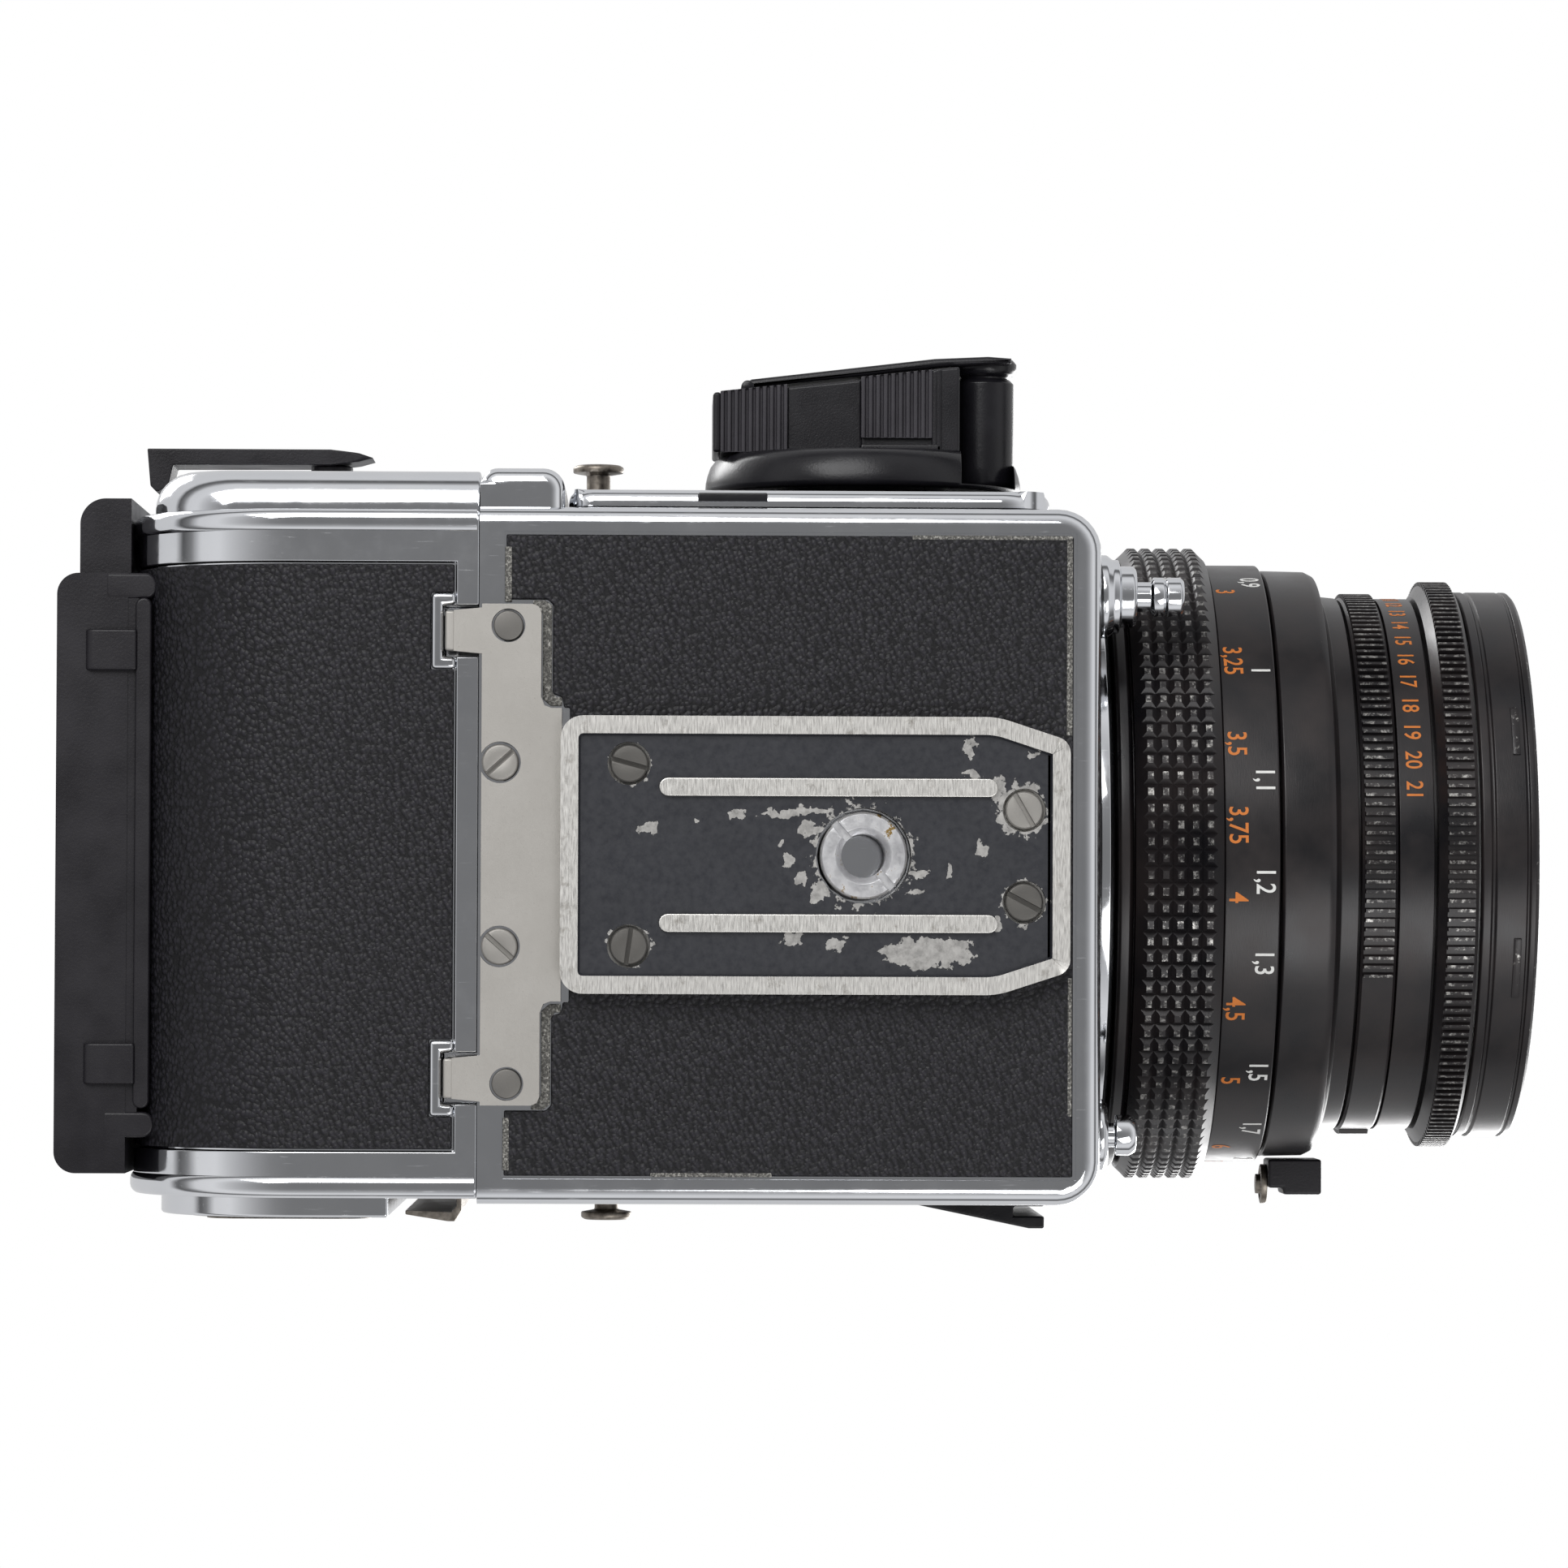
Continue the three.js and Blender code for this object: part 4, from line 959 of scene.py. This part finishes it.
def crests(piece, thickness, depth):
    """Raises each picked face to a flat topped crest and rubs its top bright."""
    bpy.ops.mesh.inset(use_individual=True, thickness=thickness * MM, depth=depth * MM)
    close_edit()
    for face in piece.data.polygons:
        face.material_index = 1 if face.select else 0
    only(piece)
    bpy.ops.object.shade_smooth_by_angle(angle=math.radians(22))


pick(knurl, "FACE", lambda centre, normal: from_axis(centre) > 37.8 and grip_start < ahead(centre) < grip_end)
crests(knurl, 0.52, 0.55)
fitted(knurl, "focusing_ring", "black_anodised", [ANODISED, CREST], "focus_ring")

# Distance scale: a plain sleeve that turns with the grip, filled with orange and white figures.
SCALE_R = 36.45
sleeve = turned(
    "distance_sleeve",
    [(35.0, 87.0), (36.3, 87.0), (SCALE_R, 87.15), (SCALE_R, 93.4), (36.3, 93.55), (35.0, 93.55)], 128,
)
fitted(rounded(sleeve, 0.06, 2, 40), "focusing_ring", "black_anodised", [ANODISED], "distance_scale")


def filled_paint(name, colour):
    """Enamel wiped into cut figures, a little uneven and worn through in specks."""
    material, tree, shader, place = new_finish(name)
    wear = graded(tree, noise(tree, place, 0.5, 5, 0.7), 0.64, 0.72)
    dull = tuple(c * 0.72 for c in colour)
    tone = blended(tree, noise(tree, place, 0.9, 3), dull, colour)
    tree.links.new(blended(tree, wear, tone, (0.04, 0.035, 0.035)), shader.inputs["Base Color"])
    shader.inputs["Roughness"].default_value = 0.55
    raised(tree, shader, noise(tree, place, 0.2), 0.02)
    return material


ORANGE = filled_paint("orange_fill", (0.60, 0.17, 0.016))
WHITE = filled_paint("white_fill", (0.74, 0.74, 0.72))


def figures(name, marks, radius, front, height, body, finish):
    """Cut figures wrapped round a ring; each mark is its text and its bearing in degrees."""
    letters = []
    for text, turn in marks:
        bpy.ops.object.select_all(action="DESELECT")
        bpy.ops.object.text_add()
        glyph = bpy.context.object
        glyph.data.body = text
        glyph.data.size = height / 0.72
        glyph.data.align_x = "CENTER"
        glyph.data.align_y = "CENTER"
        glyph.data.extrude = 0.02
        glyph.data.offset = 0.012 * height
        glyph.data.resolution_u = 4
        bpy.ops.object.convert(target="MESH")
        for vertex in glyph.data.vertices:
            along, up, out = vertex.co
            angle = math.radians(turn) + along * 0.84 / radius
            reach = radius + 0.005 + out
            vertex.co = spot(reach * math.sin(angle), front + up, LENS_Z - reach * math.cos(angle))
        letters.append(glyph)
    only(letters[0])
    for glyph in letters[1:]:
        glyph.select_set(True)
    bpy.ops.object.join()
    piece = bpy.context.object
    piece.name = name
    return fitted(seamed(piece), body, "black_anodised", [finish])


def distance_turn(metres):
    """Bearing of a distance mark: the ring turns as the lens racks out."""
    return 180 - 28.6 * 6400 / (1000 * metres - 160)


def comma(number):
    return f"{number:g}".replace(".", ",")


feet = [(comma(f), distance_turn(f * 0.3048)) for f in (3, 3.25, 3.5, 3.75, 4, 4.5, 5, 6, 7, 8, 10, 15, 30)]
metres = [(comma(m), distance_turn(m)) for m in (0.9, 1, 1.1, 1.2, 1.3, 1.5, 1.7, 2, 2.5, 3, 5, 10)]
figures("distance_feet", feet, SCALE_R, 88.55, 2.3, "focusing_ring", ORANGE)
figures("distance_metres", metres, SCALE_R, 91.75, 2.3, "focusing_ring", WHITE)

# Lens head: the barrel that racks forward, with the shutter and the front mount in it.
head = turned(
    "head_barrel",
    [(20.5, 71), (25.4, 71), (25.4, 94.8), (31.2, 94.8), (31.2, 80), (32.7, 80), (32.7, 93.9), (35.5, 93.9), (
        35.8, 94.2,
    ),
     (35.7, 99.3), (35.2, 100.3), (33.4, 100.6), (32.7, 101.1), (32.5, 103.2), (30.5, 103.3), (30.5, 117), (
         27.5, 117,
     ),
     (26.6, 116.0), (26.6, 115.2), (25.2, 114.2), (25.2, 113.4), (23.6, 112.3), (23.6, 111.6),
     (21.5, 110.5), (20.5, 110.5)],
    128,
)
fitted(rounded(head, 0.1, 2, 35), "lens_head", "black_anodised", [ANODISED], "lens_head_barrel")


def ribbed_ring(name, outline, steps, grip_radius, ribbed, height, body, node):
    """A ring whose grip is cut into ribs along the axis: every other strip is raised."""
    ring = turned(name, outline, steps)
    for finish in (ANODISED, CREST):
        ring.data.materials.append(finish)

    def rib(centre, normal):
        if abs(from_axis(centre) - grip_radius) > 0.12 or not ribbed(bearing(centre)):
            return False
        return round((bearing(centre) + 360) / (360 / steps) - 0.5) % 2 == 0

    pick(ring, "FACE", rib)
    crests(ring, 0.09, height)
    return fitted(ring, body, "black_anodised", [ANODISED, CREST], node)


ribbed_ring(
    "shutter_speed_grip",
    [(30.8, 103.6), (32.3, 103.6), (32.55, 103.9), (32.55, 107.5), (32.3, 107.8), (30.8, 107.8)],
    360, 32.55, lambda turn: turn < 25 or turn > 85, 0.5, "shutter_speed_ring", "speed_ring",
)
EV_R = 32.45
ev_sleeve = turned("exposure_sleeve", [(30.8, 108.0), (EV_R, 108.0), (EV_R, 112.1), (30.8, 112.1)], 128)
fitted(rounded(ev_sleeve, 0.1, 2, 40), "shutter_speed_ring", "black_anodised", [ANODISED], "exposure_scale")
exposure = [(str(n), -14.7 - 6.7 * (21 - n)) for n in range(6, 22)]
figures("exposure_figures", exposure, EV_R, 109.75, 2.0, "shutter_speed_ring", ORANGE)
ribbed_ring(
    "aperture_grip",
    [(30.8, 112.6), (32.7, 112.6), (34.05, 113.5), (34.05, 116.8), (33.7, 117.2), (30.8, 117.2)],
    380, 34.05, lambda turn: True, 0.5, "aperture_control", "aperture_ring",
)

# Front ring: bayonet outside, fine filter step inside, its edges rubbed bright.
rim = turned(
    "front_rim",
    [(28.2, 117.5), (33.0, 117.5), (33.3, 117.8), (33.3, 118.7), (33.0, 118.9), (33.0, 119.2),
     (33.3, 119.4), (33.3, 122.9),
     (33.0, 123.0), (33.0, 123.3), (33.3, 123.4), (33.3, 124.0), (32.9, 124.4), (32.3, 124.5),
     (31.9, 124.4), (31.9, 124.1),
     (31.5, 123.9), (31.5, 121.6), (30.9, 121.4), (30.9, 120.2), (30.2, 120.0), (29.4, 119.5), (28.2, 119.3)],
    160,
)
for finish in (ANODISED, RUBBED):
    rim.data.materials.append(finish)
for face in rim.data.polygons:
    if ahead(face.center) > 123.9 and from_axis(face.center) > 32:
        face.material_index = 1
fitted(rounded(rim, 0.08, 2, 35), "lens_head", "black_anodised", [ANODISED, RUBBED], "front_ring")

# Bayonet slots: two short lips round the rim, worn bright along their edges.
for name, start, end in (("lower", 16, 29), ("upper", -33, -22)):
    steps = 14
    lip = slab(f"bayonet_lip_{name}", (-0.5, 0.5), (121.5, 122.4), (14.9, 15.4))
    pick(lip, "EDGE", lambda middle, along: abs(along.x) > 0.99)
    bpy.ops.mesh.subdivide(number_cuts=steps - 1)
    close_edit()
    for vertex in lip.data.vertices:
        share = (vertex.co.x - AXIS.x) / MM + 0.5
        angle = math.radians(start + share * (end - start))
        reach = 33.22 if vertex.co.z > 15.15 * MM else 33.5
        vertex.co = spot(reach * math.sin(angle), ahead(vertex.co), LENS_Z - reach * math.cos(angle))
    fitted(rounded(lip, 0.06, 2, 50), "lens_head", "black_anodised", [RUBBED])

# Glass. Two ground and polished elements, coated against reflections, either side of
# the five-bladed iris.


def coated_glass():
    material, tree, shader, place = new_finish("coated_glass")
    edge = tree.nodes.new("ShaderNodeLayerWeight")
    edge.inputs["Blend"].default_value = 0.35
    smear = noise(tree, place, 9, 3)
    shader.inputs["Transmission Weight"].default_value = 1
    shader.inputs["IOR"].default_value = 1.62
    shader.inputs["Coat Weight"].default_value = 0.6
    shader.inputs["Coat Tint"].default_value = (0.55, 0.45, 0.95, 1)
    tint = blended(tree, edge.outputs["Facing"], (0.86, 0.88, 0.96), (0.72, 0.60, 0.92))
    tree.links.new(tint, shader.inputs["Base Color"])
    tree.links.new(graded(tree, smear, 0.3, 0.8, 0.0, 0.04), shader.inputs["Roughness"])
    return material


GLASS = coated_glass()


def element(name, radius, back, front, back_dome, front_dome, node):
    steps = 12
    outline = [(radius * i / steps, front + front_dome * (1 - (i / steps) ** 2)) for i in range(steps + 1)]
    outline += [(radius * i / steps, back - back_dome * (1 - (i / steps) ** 2)) for i in range(steps, -1, -1)]
    piece = turned(name, outline, 96)
    only(piece)
    bpy.ops.object.shade_smooth_by_angle(angle=math.radians(30))
    return fitted(piece, "lens_head", "coated_glass", [GLASS], node)


element("front_element", 20.1, 104, 107, 1.0, 3.0, "front_glass")
element("rear_element", 20.1, 73, 75.5, 1.8, 0.6, "rear_glass")
INNER_BLACK = blackened("inner_black", (0.004, 0.004, 0.004), 0.6, 0.4, 0.03)
iris = rounded(copied("iris_stop", "iris_blades"), 0.05, 1)
fitted(iris, "lens_head", "black_paint", [INNER_BLACK], "iris_stop")

# Flash terminal: a black moulded block on the lens barrel with a bright contact socket.
MOULDED = blackened("black_moulding", (0.0050, 0.0042, 0.0062), 0.40, 0.3, 0.03)
block = rounded(copied("flash_terminal", "flash_block"), 0.35, 3)
fitted(block, "lens_head", "black_plastic", [MOULDED], "flash_terminal")
socket = turned(
    "flash_socket",
    [(0, 93.9), (1.2, 93.9), (1.2, 94.6), (1.7, 94.6), (1.9, 94.4), (2.4, 94.5), (2.4, 95.2), (0, 95.2)],
    40, "front", (39.2, 0, LENS_Z),
)
fitted(rounded(socket, 0.08, 2, 40), "lens_head", "steel", [STEEL])

# ---------------------------------------------------------------------------
# Magazine. A chromed die cast shell with a rounded back, open on the left for its film
# insert, with raised polished bands round both ends and a leatherette cover between.
MAGAZINE = dict(back=-41.0, bottom=3.0, top=88.0, corner=20.0, half=39.7)


def magazine_side(inset, face):
    """The magazine seen from the side as (front, z) points, made smaller by an inset."""
    corner = MAGAZINE["corner"] - inset
    back, bottom, top = MAGAZINE["back"] + inset, MAGAZINE["bottom"] + inset, MAGAZINE["top"] - inset
    outline = [(face, top)]
    outline += arc(back + corner, top - corner, corner, 90, 180, 24)
    outline += arc(back + corner, bottom + corner, corner, 180, 270, 24)
    return outline + [(face, bottom)]


def soft_ends(piece, start, end, width, segments):
    """Rounds off the rims of a piece at one or both of its ends, apart from the joint face."""
    ends = (start, end)

    def at_rim(middle, along):
        across = (middle.x - AXIS.x) / MM
        return abs(along.x) < 0.5 and ahead(middle) < -0.5 and min(abs(across - e) for e in ends) < 0.02

    pick(piece, "EDGE", at_rim)
    bpy.ops.mesh.bevel(offset=width * MM, segments=segments, affect="EDGES")
    close_edit()
    return piece


half = MAGAZINE["half"]
casting = outlined("magazine_casting", magazine_side(0, -0.06), -half, half, "across")
soft_ends(casting, -half, half, 1.2, 3)
cut_out(casting, outlined("chamber", magazine_side(3, -10), -36.5, 42, "across"))
field = outlined("field", magazine_side(-2, -2.6), -33.8, 34.3, "across")
cut_out(field, outlined("core", magazine_side(0.9, 0), -35, 36, "across"))
cut_out(casting, field)
cut_out(casting, slab("gate", (-27, 27), (-11, 1), (LENS_Z - 27, LENS_Z + 27)))
cut_out(casting, slab("slide_slot", (-33, 42), (-3.1, -1.9), (18.5, 78.5)))
cut_out(casting, slab("holder_catch", (-30, 30), (-42, -39.8), (LENS_Z - 5, LENS_Z + 5)))
for x in (-25.8, 25.8):
    cut_out(casting, slab("hook_notch", (x - 3, x + 3), (-4.1, 1), (0, 9)))
    lip = [
        (x - 4.4, -2.7), (x - 4.4, -5.5), (x + 4.4, -5.5), (x + 4.4, -2.7), (x + 3, -2.7),
        (x + 3, -4.1), (x - 3, -4.1), (x - 3, -2.7),
    ]
    lip = outlined(f"notch_lip_{'left' if x > 0 else 'right'}", lip, 2.8, 4.5)
    fitted(rounded(lip, 0.5, 4), "magazine", "chromed_body", [CHROME])
fitted(rounded(casting, 0.3, 3), "magazine", "chromed_body", [CHROME], "magazine_shell")
cover = rounded(copied("magazine_leather", "magazine_covering"), 0.18, 3)
fitted(cover, "magazine", "leatherette", [LEATHERETTE], "magazine_leather")

for name, start, end in (("right", -39.9, -37.1), ("left", 36.9, 39.7)):
    band = outlined(f"magazine_band_{name}", magazine_side(-0.4, -0.3), start, end, "across")
    soft_ends(band, start, end, 1.1, 4)
    cut_out(band, outlined("core", magazine_side(0.5, 2), start - 1, end + 1, "across"))
    fitted(rounded(band, 0.12, 2), "magazine", "chromed_body", [CHROME])

# The gear housing on its right side, over the winding gears.
gears = arc(-28.5, 74.0, 10, 90, 180, 12) + arc(-28.5, 18.0, 10, 180, 270, 12)
gears = [(-0.15, 84.0)] + gears + [(-0.15, 8.0)]
gears = outlined("gear_housing", gears, -44.9, -38, "across")
soft_ends(gears, -44.9, -44.9, 4.4, 8)
fitted(rounded(gears, 0.25, 2), "magazine", "chromed_body", [CHROME])

insert = rounded(copied("film_insert", "insert_frame"), 0.5, 3)
fitted(insert, "insert", "chromed_body", [CHROME], "film_insert")
pad = outlined("insert_covering", magazine_side(6.0, -13.5), 41.95, 42.2, "across")
fitted(rounded(pad, 0.12, 2), "insert", "leatherette", [LEATHERETTE])
plate = rounded(copied("pressure_plate", "film_pressure_plate"), 0.3, 2)
fitted(plate, "insert", "black_paint", [BLACK_PAINT], "pressure_plate")
for node, name, body in (
    ("supply_spool", "feed_spool_moulding", "feed_spool"),
    ("takeup_spool", "winding_spool_moulding", "winding_spool"),
):
    fitted(rounded(copied(node, name), 0.25, 2, 40), body, "black_plastic", [MOULDED], node)
key = rounded(copied("insert_key", "insert_bail"), 0.3, 3)
fitted(key, "key", "steel", [STEEL], "insert_key")
latch = rounded(copied("magazine_latch", "latch_slider"), 0.35, 3)
fitted(latch, "latch", "chromed_body", [CHROME], "magazine_latch")

# Dark slide: a thin stainless sheet with a folded bright handle that stands out on the left.
slide = rounded(copied("dark_slide", "dark_slide_sheet"), 0.12, 2)
fitted(slide, "slide", "steel", [STEEL], "dark_slide")

# Film crank: a flat black folding lever on the magazine's right side, on a small pivot.
lever_view = [
    (-42.6, -50.8), (-20.0, -50.8), (-16.5, -50.4), (-14.7, -49.8), (-16.5, -49.3), (-20.0, -48.9),
    (-39.4, -48.8),
]
lever_view += [(-40.0, -46.2), (-41.4, -45.4), (-42.2, -46.2)]
lever = outlined("film_lever", [(b, a) for a, b in lever_view], 55.6, 64.4)
pick(lever, "EDGE", lambda middle, along: abs(along.x) > 0.2 and ahead(middle) > -18)
bpy.ops.mesh.bevel(offset=0.4 * MM, segments=2, affect="EDGES")
close_edit()
fitted(rounded(lever, 0.3, 3), "film_crank", "black_plastic", [MOULDED], "magazine_crank")
pivot = turned(
    "lever_pivot", [(0, -45.2), (2.6, -45.2), (2.6, -49.0), (0, -49.0)], 48, "across", (0, -20, 60),
)
fitted(rounded(pivot, 0.3, 2, 40), "film_crank", "black_plastic", [MOULDED])
dot = turned(
    "lever_rivet", [(0, -50.0), (0.9, -50.0), (0.9, -50.7), (0.6, -50.95), (0, -51.0)], 32,
    "across", (0, -20, 60),
)
fitted(dot, "film_crank", "steel", [STEEL])

# ---------------------------------------------------------------------------
# Dark slide holder. A black moulded pocket clipped on the magazine's back, with a bead
# along its mouth and two spring clips.
holder = rounded(copied("dark_slide_holder", "slide_pocket"), 0.9, 4)
fitted(holder, "magazine", "black_plastic", [MOULDED], "dark_slide_holder")
lip = slab("pocket_lip", (-30.0, 29.6), (-40.4, -38.5), (12.5, 19.0))
pick(lip, "EDGE", lambda middle, along: abs(along.z) > 0.99)
bpy.ops.mesh.bevel(offset=0.9 * MM, segments=5, affect="EDGES")
close_edit()
fitted(rounded(lip, 0.3, 3), "magazine", "black_plastic", [MOULDED])
sill = slab("pocket_sill", (-32, 33), (-42.5, -39.9), (13.1, 19))
fitted(rounded(sill, 0.2, 2), "magazine", "black_plastic", [MOULDED])
for name, x in (("right", -31.4), ("left", 31.5)):
    cheek = slab(f"pocket_cheek_{name}", (x - 1.5, x + 1.5), (-43.9, -37.9), (12.9, 22.0))
    pick(cheek, "EDGE", lambda middle, along: abs(along.z) > 0.99 and ahead(middle) > -40)
    bpy.ops.mesh.bevel(offset=1.4 * MM, segments=6, affect="EDGES")
    close_edit()
    fitted(rounded(cheek, 0.4, 3), "magazine", "black_plastic", [MOULDED])
for name, x in (("right", -23.9), ("left", 24.4)):
    clip = slab(f"pocket_clip_{name}", (x - 2.4, x + 2.4), (-46.2, -40.2), (12.1, 14.5))
    pick(
        clip, "EDGE", lambda middle,
        along: abs(along.x) > 0.99 and middle.z < 12.2 * MM and ahead(middle) < -46,
    )
    bpy.ops.mesh.bevel(offset=1.0 * MM, segments=4, affect="EDGES")
    close_edit()
    fitted(rounded(clip, 0.3, 3), "magazine", "black_plastic", [MOULDED])

# ---------------------------------------------------------------------------
# Folding hood. Thin pressed sheet, black enamelled: a frame on the body's top, a lid
# hinged at the front, three leaves that rise with it and a flip-up magnifier.
frame_piece = rounded(copied("hood_frame", "hood_base"), 0.4, 3)
fitted(frame_piece, "camera_body", "black_paint", [BLACK_PAINT], "hood_frame")
lid = slab("hood_cover", (-37.2, 37.2), (2.8, 70.6), (102.6, 109.0))
pick(lid, "EDGE", lambda middle, along: abs(along.z) > 0.99 or (middle.z > 108.9 * MM and ahead(middle) < 3))
bpy.ops.mesh.bevel(offset=2.4 * MM, segments=6, affect="EDGES")
close_edit()
cut_out(lid, slab("inside", (-35.7, 35.7), (4.3, 72), (100, 107.4)))
cut_out(lid, slab("hinge_gap", (-40, 40), (68.8, 72), (100, 105)))
fitted(rounded(lid, 0.5, 3), "lid", "black_paint", [BLACK_PAINT], "hood_lid")
panel = slab("hood_cover_panel", (-31.5, 31.5), (8.5, 65), (108.6, 109.4))
pick(panel, "EDGE", lambda middle, along: abs(along.z) > 0.99)
bpy.ops.mesh.bevel(offset=2.5 * MM, segments=6, affect="EDGES")
close_edit()
fitted(rounded(panel, 0.35, 3), "lid", "black_paint", [BLACK_PAINT])
hinge = turned("hood_hinge", [(0, -36), (1.05, -36), (1.05, 36), (0, 36)], 32, "across", (0, 70, 102))
fitted(rounded(hinge, 0.2, 2, 40), "camera_body", "black_paint", [BLACK_PAINT])
for node, name, body in (
    ("hood_left_panel", "hood_leaf_left", "left_hood_panel"),
    ("hood_right_panel", "hood_leaf_right", "right_hood_panel"),
    ("hood_rear_panel", "hood_leaf_rear", "rear_hood_panel"),
    ("magnifier", "magnifier_ring", "hood_magnifier"),
):
    fitted(rounded(copied(node, name), 0.2, 2), body, "black_paint", [BLACK_PAINT], node)

# ---------------------------------------------------------------------------
# Inside. The mirror on its hinged frame, the ground glass under the hood and the two
# flaps that close the film gate.


def silvered_mirror():
    material, tree, shader, place = new_finish("silvered_mirror")
    shader.inputs["Metallic"].default_value = 1
    haze = noise(tree, place, 11, 3)
    tree.links.new(blended(tree, haze, (0.82, 0.83, 0.84), (0.90, 0.90, 0.90)), shader.inputs["Base Color"])
    tree.links.new(graded(tree, haze, 0.4, 0.8, 0.01, 0.05), shader.inputs["Roughness"])
    return material


def ground_glass():
    material, tree, shader, place = new_finish("ground_glass")
    grain = noise(tree, place, 0.1, 2)
    shader.inputs["Transmission Weight"].default_value = 0.6
    tree.links.new(blended(tree, grain, (0.55, 0.57, 0.56), (0.72, 0.74, 0.73)), shader.inputs["Base Color"])
    tree.links.new(graded(tree, grain, 0.3, 0.7, 0.35, 0.5), shader.inputs["Roughness"])
    raised(tree, shader, grain, 0.02)
    return material


for node, name, body, slot_name, finish in (
    ("mirror_frame", "mirror_carrier", "mirror", "black_paint", BLACK_PAINT),
    ("mirror_glass", "mirror_plate", "mirror", "mirror_silver", silvered_mirror()),
    ("focusing_screen", "screen_plate", "camera_body", "screen_glass", ground_glass()),
    ("flap_upper", "gate_flap_upper", "upper_flap", "black_paint", INNER_BLACK),
    ("flap_lower", "gate_flap_lower", "lower_flap", "black_paint", INNER_BLACK),
):
    fitted(rounded(copied(node, name), 0.12, 2), body, slot_name, [finish], node)

# ---------------------------------------------------------------------------
# Studio. The camera looks straight up at the underside, over a pale floor that shows
# only from above, in a plain white room with broad soft lights.
SENSOR = 36.0
camera_data = bpy.data.cameras.new("studio_camera")
camera_data.sensor_width = SENSOR
camera_data.lens = 149.5
camera_data.clip_end = 20
camera = bpy.data.objects.new("studio_camera", camera_data)
bpy.context.scene.collection.objects.link(camera)
square = Matrix(((0, -1, 0), (-1, 0, 0), (0, 0, -1)))
tilt = Matrix.Rotation(-0.0042, 3, "Z") @ Matrix.Rotation(-0.0267, 3, "Y") @ Matrix.Rotation(0.0179, 3, "X")
camera.matrix_world = Matrix.Translation(spot(11.85, 21.88, -748.33)) @ (tilt @ square).to_4x4()
bpy.context.scene.camera = camera


def lamp(name, place, aim, width, height, power):
    data = bpy.data.lights.new(name, "AREA")
    data.shape = "RECTANGLE"
    data.size, data.size_y = width, height
    data.energy = power
    light = bpy.data.objects.new(name, data)
    bpy.context.scene.collection.objects.link(light)
    light.location = place
    light.rotation_euler = (Vector(aim) - Vector(place)).to_track_quat("-Z", "Y").to_euler()
    return light


lamp("soft_below", (-0.55, 0.25, -0.75), (0, 0, 0.03), 0.6, 0.6, 6)
lamp("soft_below_far", (0.5, -0.3, -0.9), (0, 0, 0.03), 0.5, 0.5, 3)
lamp("soft_above", (0.3, -0.5, 0.9), (0, 0, 0.05), 0.7, 0.7, 10)
lamp("soft_above_far", (-0.5, 0.6, 0.7), (0, 0, 0.05), 0.5, 0.5, 6)


def pale_floor():
    """Pale matt floor seen from above only, so that the underside stays open to the light."""
    material = bpy.data.materials.new("pale_floor")
    material.use_nodes = True
    tree = material.node_tree
    shader = tree.nodes["Principled BSDF"]
    shader.inputs["Base Color"].default_value = (0.86, 0.86, 0.86, 1)
    shader.inputs["Roughness"].default_value = 0.7
    shader.inputs["Emission Color"].default_value = (1, 1, 1, 1)
    shader.inputs["Emission Strength"].default_value = 0.26
    clear = tree.nodes.new("ShaderNodeBsdfTransparent")
    facing = tree.nodes.new("ShaderNodeNewGeometry")
    choice = tree.nodes.new("ShaderNodeMixShader")
    tree.links.new(facing.outputs["Backfacing"], choice.inputs["Fac"])
    tree.links.new(shader.outputs["BSDF"], choice.inputs[1])
    tree.links.new(clear.outputs["BSDF"], choice.inputs[2])
    tree.links.new(choice.outputs["Shader"], tree.nodes["Material Output"].inputs["Surface"])
    return material


bpy.ops.object.select_all(action="DESELECT")
bpy.ops.mesh.primitive_plane_add(size=3, location=(0, 0, -0.0006))
floor = bpy.context.object
floor.name = "studio_floor"
bpy.ops.object.transform_apply(location=True, rotation=True, scale=True)
floor.data.materials.append(pale_floor())
floor.visible_diffuse = False
floor.visible_glossy = False
floor.visible_transmission = False
floor.visible_shadow = False

world = bpy.data.worlds.new("white_room")
world.use_nodes = True
bpy.context.scene.world = world
tree = world.node_tree
tree.nodes.clear()
seen = tree.nodes.new("ShaderNodeBackground")
seen.inputs["Color"].default_value = (1, 1, 1, 1)
seen.inputs["Strength"].default_value = 1.0
room = tree.nodes.new("ShaderNodeBackground")
room.inputs["Strength"].default_value = 0.85
direction = tree.nodes.new("ShaderNodeTexCoord")
parts = tree.nodes.new("ShaderNodeSeparateXYZ")
tree.links.new(direction.outputs["Generated"], parts.inputs["Vector"])
height = graded(tree, parts.outputs["Z"], -1, 1)
bands = tree.nodes.new("ShaderNodeValToRGB")
stops = [
    (0.0, 0.26), (0.03, 0.32), (0.12, 0.62), (0.24, 1.0), (0.36, 0.95), (0.43, 0.3), (0.50, 0.12),
    (0.56, 0.9), (1.0, 0.8),
]
while len(bands.color_ramp.elements) < len(stops):
    bands.color_ramp.elements.new(0.5)
for stop, (position, level) in zip(bands.color_ramp.elements, stops):
    stop.position = position
    stop.color = (level, level, level * 1.01, 1)
tree.links.new(height, bands.inputs["Fac"])
tree.links.new(bands.outputs["Color"], room.inputs["Color"])
path = tree.nodes.new("ShaderNodeLightPath")
either = tree.nodes.new("ShaderNodeMixShader")
out = tree.nodes.new("ShaderNodeOutputWorld")
tree.links.new(path.outputs["Is Camera Ray"], either.inputs["Fac"])
tree.links.new(room.outputs["Background"], either.inputs[1])
tree.links.new(seen.outputs["Background"], either.inputs[2])
tree.links.new(either.outputs["Shader"], out.inputs["Surface"])
bpy.context.scene.view_settings.view_transform = "Standard"
